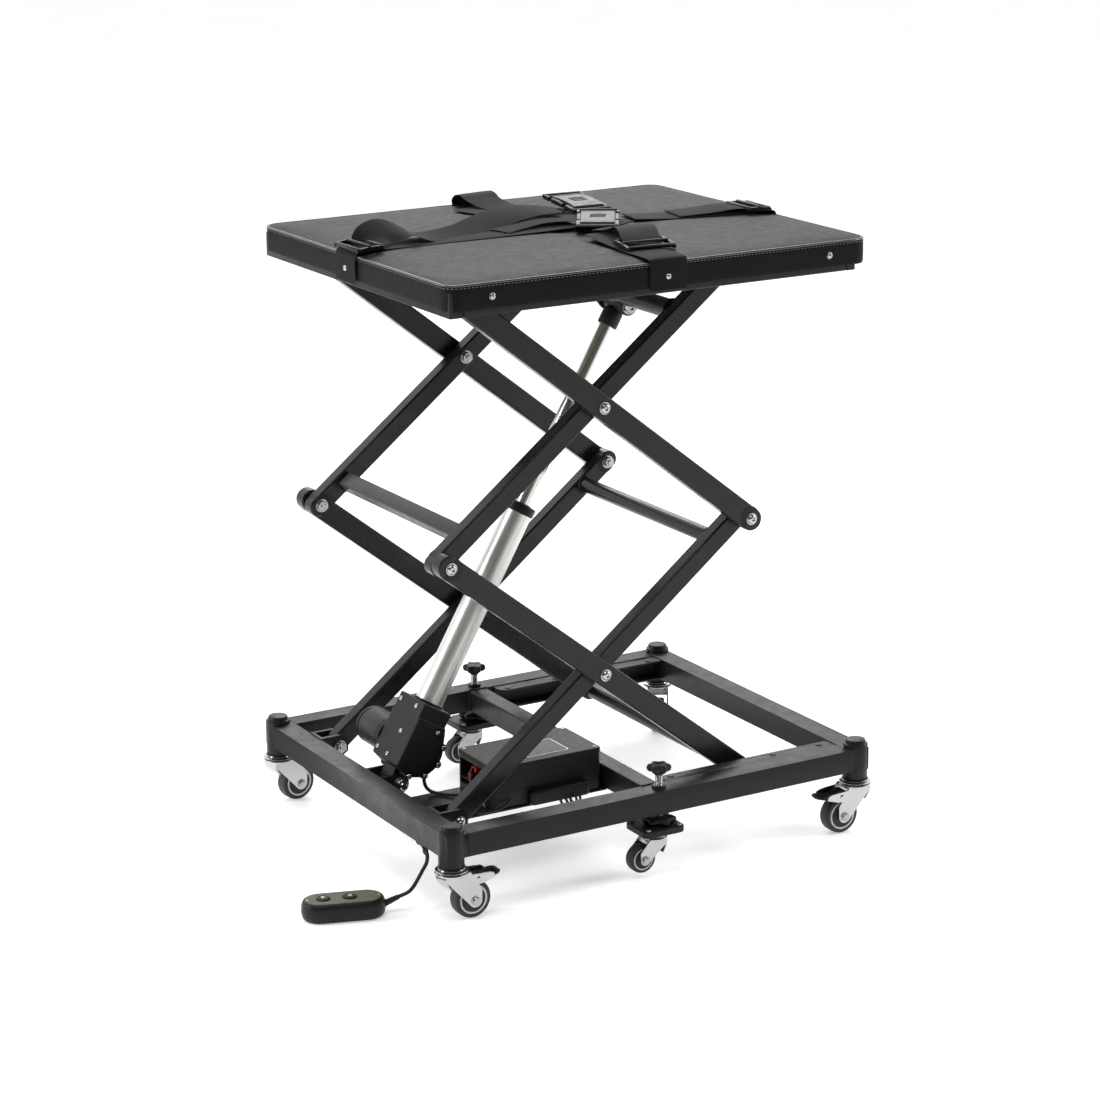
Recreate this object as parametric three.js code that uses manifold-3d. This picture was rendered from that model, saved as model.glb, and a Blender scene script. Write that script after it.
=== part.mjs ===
// Electric double-scissor lifting platform on casters: a rectangular base frame,
// two pairs of crossed arm frames, a padded platform, a linear actuator, a control
// box and a wired handset. Millimetres, +Z up. The design frame below has its
// zero at the base frame's front left outer corner, level with the top of the
// base tubes; the whole group is then moved so that the part's origin is the
// centre of its footprint on the floor.
import * as THREE from "three";
import { mergeVertices } from "three/addons/utils/BufferGeometryUtils.js";
import Module from "manifold-3d";

const wasm = await Module();
wasm.setup();

// ---------------------------------------------------------------- dimensions
const BASE_L = 620, BASE_W = 504, TUBE = 30;          // base frame
const FLOOR = -112;                                   // floor below the tube tops
const POST_R = 16, POST_IN = 12.5;                    // corner posts
const THETA = 38.3 * Math.PI / 180;                   // arm angle as stored
const SEG_A = 255.5, SEG_B = 273.3;                   // end pivot to centre, centre to middle pivot
const PIV_X = 57.6, PIV_Z = -14.5;                    // fixed base pivot
const OUT_Y0 = 57.5, OUT_Y1 = 77.5;                   // outer arms, front pair
const INN_Y0 = 79.5, INN_Y1 = 99.5;                   // inner arms, front pair
const OUT_H = 29, INN_H = 25;                         // arm heights
const PIN_R = 4, PIN_HOLE = 4.4;                      // pivot bolts
const ROLLER_R = 10, ROLLER_W = 10;
const PLAT_X0 = 17.4, PLAT_X1 = 608.2, PLAT_Y0 = 4, PLAT_Y1 = 500;
const FRAME_X0 = 21, FRAME_X1 = 590, FRAME_Y0 = 8, FRAME_Y1 = 496;
const ACT_Y = 252;                                    // actuator's vertical plane
const ACT_S = 159.3, ACT_N = 20.6;                    // its upper pivot on the upper inner arms
const ROD_R = 10, OUTER_R = 18;
const LEG_X = 309, LEG_Y = 15;                        // jack screws of the middle casters
const ORIGIN = [241.76, 252, FLOOR];                  // footprint centre on the floor

const ct = Math.cos(THETA), st = Math.sin(THETA);
const C1 = [PIV_X + SEG_A * ct, PIV_Z + SEG_A * st];
const MR = [C1[0] + SEG_B * ct, C1[1] + SEG_B * st];
const ML = [C1[0] - SEG_B * ct, C1[1] + SEG_B * st];
const C2 = [C1[0], C1[1] + 2 * SEG_B * st];
const TL = [C2[0] - SEG_A * ct, C2[1] + SEG_A * st];
const TR = [C2[0] + SEG_A * ct, C2[1] + SEG_A * st];
const LR = [PIV_X + 2 * SEG_A * ct, PIV_Z];
const TOPZ = TL[1];
const ACT_TOP = [C2[0] + ACT_S * ct + ACT_N * st, C2[1] + ACT_S * st - ACT_N * ct];
const ACT_LEN = Math.hypot(ACT_TOP[0] - PIV_X, ACT_TOP[1] - PIV_Z);
const PHI = Math.atan2(ACT_TOP[1] - PIV_Z, ACT_TOP[0] - PIV_X);

// ---------------------------------------------------------------- materials
const mats = {
  frame: new THREE.MeshStandardMaterial({ color: 0x2c2c2e, roughness: 0.5, metalness: 0.3 }),
  arm: new THREE.MeshStandardMaterial({ color: 0x2a2a2c, roughness: 0.42, metalness: 0.3 }),
  track: new THREE.MeshStandardMaterial({ color: 0x39393b, roughness: 0.5, metalness: 0.4 }),
  chrome: new THREE.MeshStandardMaterial({ color: 0xd8d9da, roughness: 0.15, metalness: 1 }),
  tyre: new THREE.MeshStandardMaterial({ color: 0x4b4b4c, roughness: 0.6, metalness: 0 }),
  plastic: new THREE.MeshStandardMaterial({ color: 0x1f1f21, roughness: 0.5, metalness: 0 }),
  aluminium: new THREE.MeshStandardMaterial({ color: 0xd6d6d2, roughness: 0.3, metalness: 1 }),
  rod: new THREE.MeshStandardMaterial({ color: 0xdcdcd8, roughness: 0.2, metalness: 1 }),
  leather: new THREE.MeshStandardMaterial({ color: 0x2f2f31, roughness: 0.5, metalness: 0 }),
  webbing: new THREE.MeshStandardMaterial({ color: 0x161617, roughness: 0.9, metalness: 0 }),
  nylon: new THREE.MeshStandardMaterial({ color: 0xd9d7cf, roughness: 0.5, metalness: 0 }),
  button: new THREE.MeshStandardMaterial({ color: 0x8f968a, roughness: 0.6, metalness: 0 }),
  cable: new THREE.MeshStandardMaterial({ color: 0x141415, roughness: 0.6, metalness: 0 }),
};

// ---------------------------------------------------------------- helpers
const root = new THREE.Group();

function solid(geometry) {
  const g = geometry.clone();
  g.deleteAttribute("normal");
  g.deleteAttribute("uv");
  const m = mergeVertices(g, 1e-4);
  const tri = m.index ? Array.from(m.index.array) : [...Array(m.attributes.position.count).keys()];
  const keep = [];
  for (let i = 0; i < tri.length; i += 3)
    if (tri[i] !== tri[i + 1] && tri[i + 1] !== tri[i + 2] && tri[i] !== tri[i + 2])
      keep.push(tri[i], tri[i + 1], tri[i + 2]);
  return new wasm.Manifold(new wasm.Mesh({
    numProp: 3,
    vertProperties: new Float32Array(m.attributes.position.array),
    triVerts: new Uint32Array(keep),
  }));
}

function place(name, manifold, material) {
  const mesh = manifold.getMesh();
  const g = new THREE.BufferGeometry();
  g.setAttribute("position", new THREE.BufferAttribute(new Float32Array(mesh.vertProperties), 3));
  g.setIndex(new THREE.BufferAttribute(new Uint32Array(mesh.triVerts), 1));
  g.computeVertexNormals();
  const out = new THREE.Mesh(g, material);
  out.name = name;
  root.add(out);
  return out;
}

function box(x0, x1, y0, y1, z0, z1) {
  const g = new THREE.BoxGeometry(x1 - x0, y1 - y0, z1 - z0);
  g.translate((x0 + x1) / 2, (y0 + y1) / 2, (z0 + z1) / 2);
  return solid(g);
}

// cylinder along "x", "y" or "z" from lo to hi; the centre is given in the other two axes
function cyl(axis, a, b, lo, hi, r, seg = 20, r2 = r) {
  const g = new THREE.CylinderGeometry(r2, r, hi - lo, seg);   // r at lo, r2 at hi along +Y
  if (axis === "y") g.translate(a, (lo + hi) / 2, b);
  if (axis === "x") { g.rotateZ(-Math.PI / 2); g.translate((lo + hi) / 2, a, b); }
  if (axis === "z") { g.rotateX(Math.PI / 2); g.translate(a, b, (lo + hi) / 2); }
  return solid(g);
}

// outline in (x, z) pulled along y from y0 to y1
function slab(shape, y0, y1, curveSegments = 8) {
  const g = new THREE.ExtrudeGeometry(shape, { depth: y1 - y0, bevelEnabled: false, curveSegments });
  g.rotateX(Math.PI / 2);
  g.translate(0, y1, 0);
  return solid(g);
}

// outline in (x, y) pulled along z
function plate(shape, z0, z1, curveSegments = 8) {
  const g = new THREE.ExtrudeGeometry(shape, { depth: z1 - z0, bevelEnabled: false, curveSegments });
  g.translate(0, 0, z0);
  return solid(g);
}

// bar outline between two points with half height h and round ends reaching e0, e1 past them
function barShape(p, q, h, e0, e1) {
  const L = Math.hypot(q[0] - p[0], q[1] - p[1]);
  const ux = (q[0] - p[0]) / L, uz = (q[1] - p[1]) / L;
  const P = (s, n) => [p[0] + ux * s - uz * n, p[1] + uz * s + ux * n];
  const pts = [];
  const N = 8;
  for (let i = 0; i <= N; i++) {
    const a = Math.PI / 2 + Math.PI * i / N;
    pts.push(P(-Math.max(0, e0 - h) + h * Math.cos(a), h * Math.sin(a)));
  }
  for (let i = 0; i <= N; i++) {
    const a = -Math.PI / 2 + Math.PI * i / N;
    pts.push(P(L + Math.max(0, e1 - h) + h * Math.cos(a), h * Math.sin(a)));
  }
  const s = new THREE.Shape();
  pts.forEach((v, i) => (i ? s.lineTo(v[0], v[1]) : s.moveTo(v[0], v[1])));
  return s;
}

function polyShape(pts) {
  const s = new THREE.Shape();
  pts.forEach((v, i) => (i ? s.lineTo(v[0], v[1]) : s.moveTo(v[0], v[1])));
  return s;
}

function roundRect(x0, x1, y0, y1, r) {
  const s = new THREE.Shape();
  s.moveTo(x0 + r, y0);
  s.lineTo(x1 - r, y0); s.absarc(x1 - r, y0 + r, r, -Math.PI / 2, 0, false);
  s.lineTo(x1, y1 - r); s.absarc(x1 - r, y1 - r, r, 0, Math.PI / 2, false);
  s.lineTo(x0 + r, y1); s.absarc(x0 + r, y1 - r, r, Math.PI / 2, Math.PI, false);
  s.lineTo(x0, y0 + r); s.absarc(x0 + r, y0 + r, r, Math.PI, 1.5 * Math.PI, false);
  return s;
}

const mirror = (m) => m.mirror([0, 1, 0]).translate([0, BASE_W, 0]);
const union = (...list) => list.reduce((a, b) => a.add(b));

// ---------------------------------------------------------------- base frame
const posts = {
  fl: [POST_IN, POST_IN], fr: [BASE_L - POST_IN, POST_IN],
  bl: [POST_IN, BASE_W - POST_IN], br: [BASE_L - POST_IN, BASE_W - POST_IN],
};
const postHole = (k) => cyl("z", posts[k][0], posts[k][1], -60, 20, POST_R + 0.3, 28);
const post = (k) => union(
  cyl("z", posts[k][0], posts[k][1], -42, 3, POST_R, 24),
  cyl("z", posts[k][0], posts[k][1], 2.9, 9, 12.5, 24),
).subtract(cyl("z", posts[k][0], posts[k][1], -50, -28, 5.4, 16));

function longTube(a, b) {
  return union(
    box(TUBE + 0.3, BASE_L - TUBE - 0.3, 0, TUBE, -TUBE, 0),
    cyl("z", LEG_X, LEG_Y, -0.1, 2.5, 9, 20),
  ).subtract(cyl("z", LEG_X, LEG_Y, -TUBE - 5, 20, 5.2, 16))
    .subtract(postHole(a)).subtract(postHole(b));
}
place("base_front_tube", longTube("fl", "fr"), mats.frame);
place("base_rear_tube", mirror(longTube("fl", "fr")), mats.frame);

// left end: tube, both corner posts, the two lift pivot brackets and the actuator clevis
function pivotBracket() {
  const lug = polyShape([[TUBE - 0.1, -28], [PIV_X + 3, -28], [PIV_X + 12, -22], [PIV_X + 12, -6],
    [PIV_X + 4, 1], [TUBE - 0.1, 1]]);
  return union(slab(lug, 73.9, 78.9), slab(lug, 100.1, 105.1), box(TUBE - 0.1, 34, 73.9, 105.1, -28, 1))
    .subtract(cyl("y", PIV_X, PIV_Z, 60, 120, PIN_HOLE, 16));
}
function clevis() {
  const lug = barShape([TUBE - 6, PIV_Z], [PIV_X, PIV_Z], 13, 13, 13);
  return union(slab(lug, ACT_Y - 22, ACT_Y - 17), slab(lug, ACT_Y + 17, ACT_Y + 22),
    cyl("y", PIV_X, PIV_Z, ACT_Y - 29, ACT_Y + 29, 6, 6),
    cyl("y", PIV_X, PIV_Z, ACT_Y - 23, ACT_Y + 23, 8.5, 6).subtract(cyl("y", PIV_X, PIV_Z, ACT_Y - 20, ACT_Y + 20, 12, 6)));
}
// end tubes run between the long tubes, with their posts: corner to corner
const leftEnd = union(box(0, TUBE, 0, BASE_W, -TUBE, 0), post("fl"), post("bl"),
  pivotBracket(), mirror(pivotBracket()), clevis());
place("base_left_end", leftEnd, mats.frame);
const rightEnd = union(box(BASE_L - TUBE, BASE_L, 0, BASE_W, -TUBE, 0), post("fr"), post("br"));
place("base_right_end", rightEnd, mats.frame);
place("base_crossmember", box(292.5, 318.5, TUBE + 0.3, BASE_W - TUBE - 0.3, -TUBE, 0), mats.frame);

// tray that carries the control box, welded to the crossmember and the left end tube
const tray = polyShape([[TUBE + 0.3, 112], [292.2, 112], [292.2, 300], [206, 300], [206, 213.5], [TUBE + 0.3, 213.5]]);
place("control_tray", plate(tray, -30, -27.5), mats.frame);

// roller tracks: channels open towards the middle
function baseTrack() {
  const y0 = TUBE + 0.3, y1 = 52;
  const body = box(330, BASE_L - TUBE - 0.3, y0, y1, -28, -1);
  const slot = box(320, BASE_L, y0 + 2.5, y1 + 5, PIV_Z - 11, PIV_Z + 11);
  let m = body.subtract(slot);
  for (const x of [345, 420, 500, 572]) m = m.subtract(cyl("z", x, 44, -5, 5, 2.6, 12));
  return m.subtract(cyl("z", 330, y1, -4, 5, 12, 24).subtract(cyl("z", 342, y1 - 12, -9, 9, 12, 24)));
}
place("roller_track_front", baseTrack(), mats.track);
place("roller_track_rear", mirror(baseTrack()), mats.track);

// ---------------------------------------------------------------- corner casters
// built with the swivel axis at the origin, the wheel trailing along +X, floor at z = 0
const WHEEL_R = 24.5, TRAIL = 25, AXLE_Z = 24.5;
function wheel(R, W, boreR, hubR) {
  const p = [[boreR, -W / 2 - 1], [hubR, -W / 2 - 1], [hubR + 1, -W / 2], [R * 0.92, -W / 2], [R, -W / 2 + 3],
    [R, W / 2 - 3], [R * 0.92, W / 2], [hubR + 1, W / 2], [hubR, W / 2 + 1], [boreR, W / 2 + 1], [boreR, -W / 2 - 1]];
  const g = new THREE.LatheGeometry(p.map((v) => new THREE.Vector2(v[0], v[1])), 24);
  return solid(g);
}
function fork(R, H, trail, axleZ, halfW, plateR) {
  const leg = polyShape([[-plateR * 0.7, H], [plateR * 0.75, H], [trail + 7.5, axleZ + 3], [trail + 7, axleZ - 5],
    [trail, axleZ - 8], [trail - 7, axleZ - 5], [trail - 10, axleZ + 6], [-plateR * 0.6, H - 8]]);
  return union(
    slab(leg, -halfW - 2.2, -halfW), slab(leg, halfW, halfW + 2.2),
    cyl("z", 0, 0, H - 3, H, plateR, 20),
    box(-plateR * 0.7, plateR * 0.5, -halfW - 2.2, halfW + 2.2, H - 3, H),
    cyl("z", 0, 0, H - 0.1, H + 3, plateR * 0.8, 20),
    cyl("z", 0, 0, H + 2.9, H + 5, plateR * 0.6, 16),
    cyl("y", trail, axleZ, -halfW - 5.5, halfW + 5.5, PIN_R, 12),
  );
}
function pedal() {
  // lever between the fork's legs, just above the wheel
  const s = polyShape([[20, 49.6], [27, 56.5], [54, 55], [64, 51], [64, 48], [54, 50.5], [30, 51.6]]);
  return slab(s, -12.1, 12.1);
}
function atCaster(m, key, deg) {
  return m.rotate([0, 0, deg]).translate([posts[key][0], posts[key][1], FLOOR]);
}
const casterTurn = { fl: 0, bl: 8, fr: 180, br: 240 };
for (const k of ["fl", "bl", "fr", "br"]) {
  let f = union(fork(WHEEL_R, 63, TRAIL, AXLE_Z, 12.5, 21), cyl("z", 0, 0, 67.9, 82, 5, 16));
  // side arms that carry the brake lever
  const arms = polyShape([[8, 60], [50, 57], [52, 50], [34, 45], [20, 44]]);
  if (k === "fl" || k === "fr") f = union(f, slab(arms, -14.7, -12.5), slab(arms, 12.5, 14.7));
  place("caster_fork_" + k, atCaster(f, k, casterTurn[k]), mats.chrome);
  const w = wheel(WHEEL_R, 18, PIN_HOLE, 9).translate([0, 0, 0]);
  place("caster_wheel_" + k, atCaster(w.translate([TRAIL, 0, AXLE_Z]), k, casterTurn[k]), mats.tyre);
  if (k === "fl" || k === "fr") place("brake_pedal_" + k, atCaster(pedal(), k, casterTurn[k]), mats.plastic);
}

// ---------------------------------------------------------------- middle casters on jack screws
const LEG_R = 18.4, LEG_TRAIL = 20.6, LEG_SWIVEL = -10.5, LEG_BOTTOM = -106.4;
function star(z0, z1, r) {
  const pts = [];
  for (let i = 0; i < 36; i++) {
    const a = i / 36 * 2 * Math.PI;
    const q = r * (0.86 + 0.14 * Math.cos(6 * a));
    pts.push([q * Math.cos(a), q * Math.sin(a)]);
  }
  return plate(polyShape(pts), z0, z1);
}
for (const [k, yc] of [["front", LEG_Y], ["rear", BASE_W - LEG_Y]]) {
  const at = (m) => m.translate([LEG_X, yc, 0]);
  const knob = union(star(22, 31, 15.6), cyl("z", 0, 0, 17.5, 22.1, 6.4, 20), cyl("z", 0, 0, -44.5, 18, 4.5, 16));
  place("leg_knob_" + k, at(knob), mats.plastic);
  const padShape = roundRect(-35, 24, -26, 26, 8);
  const foot = union(star(-46, -36.5, 22), plate(padShape, -55, -45.9),
    cyl("z", LEG_SWIVEL + 4, 0, -57, -54.9, 15, 24)).subtract(cyl("z", 0, 0, -45, -30, 4.9, 16));
  place("leg_foot_" + k, at(foot), mats.plastic);
  const up = (m) => m.translate([LEG_X + LEG_SWIVEL, yc, 0]);
  const H = -57.3 - 5.1 - FLOOR;                     // fork plate height above the floor
  const axle = LEG_BOTTOM + LEG_R - FLOOR;
  const lf = fork(LEG_R, H, LEG_TRAIL, axle, 10.5, 16).rotate([0, 0, 180]).translate([0, 0, FLOOR]);
  place("leg_fork_" + k, up(lf.translate([4, 0, 0])), mats.chrome);
  const lw = wheel(LEG_R, 15, PIN_HOLE, 8).translate([LEG_TRAIL, 0, axle]).rotate([0, 0, 180]).translate([4, 0, FLOOR]);
  place("leg_wheel_" + k, up(lw), mats.tyre);
}

// ---------------------------------------------------------------- scissor arms
// pivot bolt across the front arm pair: head outside the outer arm, nut inside the inner arm
const bolt = (p, y0 = OUT_Y0, y1 = INN_Y1) => union(
  cyl("y", p[0], p[1], y0 - 0.1, y1 + 5, PIN_R, 16),
  cyl("y", p[0], p[1], y0 - 3.5, y0 + 0.1, 7, 20),
  cyl("y", p[0], p[1], y1 + 0.4, y1 + 6, 6.5, 6),
);
const hole = (p) => cyl("y", p[0], p[1], 40, 130, PIN_HOLE, 16);

function lowerInner() {
  const arm = slab(barShape([PIV_X, PIV_Z], MR, INN_H / 2, 13, 16), INN_Y0, INN_Y1);
  const base = union(
    cyl("y", PIV_X, PIV_Z, 71, INN_Y0 + 0.1, PIN_R, 16), cyl("y", PIV_X, PIV_Z, 70, 73.5, 7, 20),
    cyl("y", PIV_X, PIV_Z, INN_Y1 - 0.1, 108, PIN_R, 16), cyl("y", PIV_X, PIV_Z, 105.5, 109, 6.5, 6));
  return union(arm.subtract(hole(C1)).subtract(hole(MR)), base);
}
place("lower_inner_arm_front", lowerInner(), mats.arm);
place("lower_inner_arm_rear", mirror(lowerInner()), mats.arm);
const bar1 = [PIV_X + 484.6 * ct, PIV_Z + 484.6 * st];
place("lower_inner_crossbar", cyl("y", bar1[0], bar1[1], INN_Y1 + 0.3, BASE_W - INN_Y1 - 0.3, 10, 24), mats.arm);

function lowerOuter() {
  const arm = slab(barShape(ML, LR, OUT_H / 2, 17, 14.5), OUT_Y0, OUT_Y1);
  const stub = union(cyl("y", LR[0], LR[1], 36.5, OUT_Y0 + 0.1, PIN_R, 16), cyl("y", LR[0], LR[1], 51, OUT_Y0 + 0.1, 7, 16));
  return union(arm, bolt(C1), bolt(ML), stub);
}
place("lower_outer_arm_front", lowerOuter(), mats.arm);
place("lower_outer_arm_rear", mirror(lowerOuter()), mats.arm);
place("lower_outer_axle", cyl("y", LR[0], LR[1], OUT_Y1 + 0.3, BASE_W - OUT_Y1 - 0.3, 10, 24), mats.arm);

function upperOuter() {
  const arm = slab(barShape(TL, MR, OUT_H / 2, 14.5, 17), OUT_Y0, OUT_Y1);
  const top = union(
    cyl("y", TL[0], TL[1], 48, OUT_Y0 + 0.1, PIN_R, 16), cyl("y", TL[0], TL[1], 47, 51.2, 7, 20),
    cyl("y", TL[0], TL[1], OUT_Y1 - 0.1, 87, PIN_R, 16), cyl("y", TL[0], TL[1], 84.3, 88, 6.5, 6));
  return union(arm, bolt(C2), bolt(MR), top);
}
place("upper_outer_arm_front", upperOuter(), mats.arm);
place("upper_outer_arm_rear", mirror(upperOuter()), mats.arm);

function upperInner() {
  const arm = slab(barShape(ML, TR, INN_H / 2, 16, 12.5), INN_Y0, INN_Y1);
  const stub = union(cyl("y", TR[0], TR[1], 61.5, INN_Y0 + 0.1, PIN_R, 16), cyl("y", TR[0], TR[1], 77, INN_Y0 + 0.1, 7, 16));
  return union(arm.subtract(hole(ML)).subtract(hole(C2)), stub);
}
place("upper_inner_arm_front", upperInner(), mats.arm);
place("upper_inner_arm_rear", mirror(upperInner()), mats.arm);
{
  const c = [ML[0] + 46 * ct + 3 * st, ML[1] + 46 * st - 3 * ct];
  const g = new THREE.BoxGeometry(20, BASE_W - 2 * INN_Y1 - 0.6, 17);
  g.rotateY(-THETA);
  g.translate(c[0], BASE_W / 2, c[1]);
  place("upper_inner_crossbar", solid(g), mats.arm);
}
{
  // crossbar with the U bracket that takes the actuator's upper eye
  const c = [C2[0] + ACT_S * ct - 2 * st, C2[1] + ACT_S * st + 2 * ct];
  const lug = barShape(c, ACT_TOP, 13, 10, 13);
  const m = union(cyl("y", c[0], c[1], INN_Y1 + 0.3, BASE_W - INN_Y1 - 0.3, 10, 24),
    slab(lug, ACT_Y - 28, ACT_Y - 23), slab(lug, ACT_Y + 23, ACT_Y + 28),
    cyl("y", ACT_TOP[0], ACT_TOP[1], ACT_Y - 35, ACT_Y - 27.9, 8, 6),
    cyl("y", ACT_TOP[0], ACT_TOP[1], ACT_Y + 27.9, ACT_Y + 34, 8, 6));
  place("actuator_crossbar", m, mats.arm);
}

// rollers on the arm ends
function roller(p, yc) {
  return cyl("y", p[0], p[1], yc - ROLLER_W / 2, yc + ROLLER_W / 2, ROLLER_R, 28)
    .subtract(cyl("y", p[0], p[1], yc - 20, yc + 20, PIN_HOLE, 16));
}
place("base_roller_front", roller(LR, 43.5), mats.nylon);
place("base_roller_rear", mirror(roller(LR, 43.5)), mats.nylon);
place("top_roller_front", roller(TR, 69.5), mats.nylon);
place("top_roller_rear", mirror(roller(TR, 69.5)), mats.nylon);

// ---------------------------------------------------------------- actuator
// local frame: s along its axis from the lower pivot, n to the lower right
const cp = Math.cos(PHI), sp = Math.sin(PHI);
const A = (s, n) => [PIV_X + s * cp + n * sp, PIV_Z + s * sp - n * cp];
function axial(s0, s1, r0, r1 = r0, seg = 32) {
  const g = new THREE.CylinderGeometry(r1, r0, s1 - s0, seg);
  g.translate(0, (s0 + s1) / 2, 0);
  g.rotateX(Math.PI / 2);                             // along +Z
  g.rotateY(Math.PI / 2 - PHI);
  g.translate(PIV_X, ACT_Y, PIV_Z);
  return solid(g);
}
{
  const housing = polyShape([A(22, -24), A(106, -24), A(106, 20), A(70, 20), A(40, 20), A(22, 10)].map((v) => v));
  const disc = cyl("y", ...A(48, -2), ACT_Y - 35, ACT_Y + 35, 34, 40);
  const cut = polyShape([A(-20, -24), A(130, -24), A(130, -80), A(-20, -80)]);
  const tail = slab(barShape(A(0, 0), A(30, 0), 11.5, 11.5, 0), ACT_Y - 15, ACT_Y + 15);
  let m = union(slab(housing, ACT_Y - 35, ACT_Y + 35), disc).subtract(slab(cut, ACT_Y - 60, ACT_Y + 60))
    .subtract(slab(barShape(A(-30, 0), A(0, 0), 15, 15, 15), ACT_Y + 15, ACT_Y + 60))
    .subtract(slab(barShape(A(-30, 0), A(0, 0), 15, 15, 15), ACT_Y - 60, ACT_Y - 15));
  m = union(m, tail).subtract(cyl("y", PIV_X, PIV_Z, ACT_Y - 60, ACT_Y + 60, 6.6, 16))
    .subtract(axial(95, 120, OUTER_R + 0.3));
  place("actuator_gearbox", m, mats.plastic);
  place("actuator_motor", union(cyl("y", ...A(48, -2), ACT_Y + 35.3, ACT_Y + 98, 25, 36),
    cyl("y", ...A(48, -2), ACT_Y + 97.9, ACT_Y + 101, 9, 20)), mats.plastic);
  // outer tube with its end collar, open at the top for the rod
  const tube = union(axial(95.3, 380, OUTER_R), axial(377, 387, OUTER_R + 1.6))
    .subtract(axial(100, 400, ROD_R + 0.6));
  place("actuator_tube", tube, mats.aluminium);
  const eye = cyl("y", ...A(ACT_LEN, 0), ACT_Y - 16, ACT_Y + 16, 11, 28);
  const rod = union(axial(344.8, ACT_LEN - 30, ROD_R), axial(ACT_LEN - 30.1, ACT_LEN - 6, 13), eye)
    .subtract(cyl("y", ...A(ACT_LEN, 0), ACT_Y - 30, ACT_Y + 30, 5.5, 16));
  place("actuator_rod", rod, mats.rod);
}

// ---------------------------------------------------------------- platform
const Z0 = TOPZ - 15, Z1 = TOPZ + 15.6;               // platform frame, bottom and top
const PAD_TOP = TOPZ + 23.6;
const longRail = () => box(FRAME_X0 + 18.3, FRAME_X1 - 13.3, FRAME_Y0, FRAME_Y0 + TUBE, Z0, Z1);
place("platform_front_rail", longRail(), mats.frame);
place("platform_rear_rail", mirror(longRail()), mats.frame);
function topLugs() {
  const lug = polyShape([[FRAME_X0 + 17.9, Z0], [TL[0] + 2, Z0], [TL[0] + 11, TOPZ - 8], [TL[0] + 11, TOPZ + 6],
    [TL[0] + 3, TOPZ + 13], [FRAME_X0 + 17.9, TOPZ + 13]]);
  return union(slab(lug, 51.7, 56.7), slab(lug, 78.3, 83.3))
    .subtract(cyl("y", TL[0], TL[1], 40, 95, PIN_HOLE, 16));
}
place("platform_left_end", union(box(FRAME_X0, FRAME_X0 + 18, FRAME_Y0, FRAME_Y1, Z0, Z1), topLugs(), mirror(topLugs())), mats.frame);
place("platform_right_end", box(FRAME_X1 - 13, FRAME_X1, FRAME_Y0, FRAME_Y1, Z0, Z1), mats.frame);
function topTrack() {
  const y0 = 58.5, y1 = 77;
  const body = box(410, FRAME_X1 - 13.3, y0, y1, TOPZ - 13.5, TOPZ + 13.5);
  const slot = box(400, FRAME_X1 + 10, y0 + 2.5, y1 + 5, TOPZ - 11, TOPZ + 11);
  return union(body.subtract(slot), box(410, FRAME_X1 - 13.3, FRAME_Y0 + TUBE + 0.3, y0 + 0.1, TOPZ + 10.5, TOPZ + 13.5));
}
place("top_track_front", topTrack(), mats.track);
place("top_track_rear", mirror(topTrack()), mats.track);
{
  // pad: thin crowned cushion on a board, with a skirt round the frame
  const outer = plate(roundRect(PLAT_X0, PLAT_X1, PLAT_Y0, PLAT_Y1, 20), Z0 + 8, PAD_TOP);
  const inner = plate(roundRect(PLAT_X0 + 3, PLAT_X1 - 3, PLAT_Y0 + 3, PLAT_Y1 - 3, 5), Z0 - 20, Z1 + 0.4);
  const crown = plate(roundRect(PLAT_X0 + 18, PLAT_X1 - 18, PLAT_Y0 + 18, PLAT_Y1 - 18, 14), PAD_TOP - 0.1, PAD_TOP + 4);
  place("pad", union(outer, crown).subtract(inner), mats.leather);
  // harness: two crossed webbing straps over the pad, turned down over its skirt
  const zt = PAD_TOP + 4.3, w = 50, cx = 313.5, cy = 250;
  const long = union(box(PLAT_X0 - 2.3, PLAT_X1 + 2.3, cy - w / 2, cy + w / 2, zt, zt + 2),
    box(PLAT_X0 - 2.3, PLAT_X0 - 0.3, cy - w / 2, cy + w / 2, Z0 + 6, zt + 2),
    box(PLAT_X1 + 0.3, PLAT_X1 + 2.3, cy - w / 2, cy + w / 2, Z0 + 6, zt + 2));
  const cross = union(box(cx - w / 2, cx + w / 2, PLAT_Y0 - 2.3, PLAT_Y1 + 2.3, zt, zt + 2),
    box(cx - w / 2, cx + w / 2, PLAT_Y0 - 2.3, PLAT_Y0 - 0.3, Z0 + 6, zt + 2),
    box(cx - w / 2, cx + w / 2, PLAT_Y1 + 0.3, PLAT_Y1 + 2.3, Z0 + 6, zt + 2));
  place("strap_harness", union(long, cross, box(cx - 60, cx + 50, cy - 45, cy + 45, zt, zt + 16)), mats.webbing);
}

// ---------------------------------------------------------------- control box
{
  const body = plate(roundRect(128, 285, 114, 206, 5), -27.2, 28);
  const mouth = box(120, 150, 122, 198, -14, 20);
  const gland = cyl("y", 240, -14, 205.9, 213, 5, 16);
  place("control_box", union(body.subtract(mouth), gland), mats.plastic);
}

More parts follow.
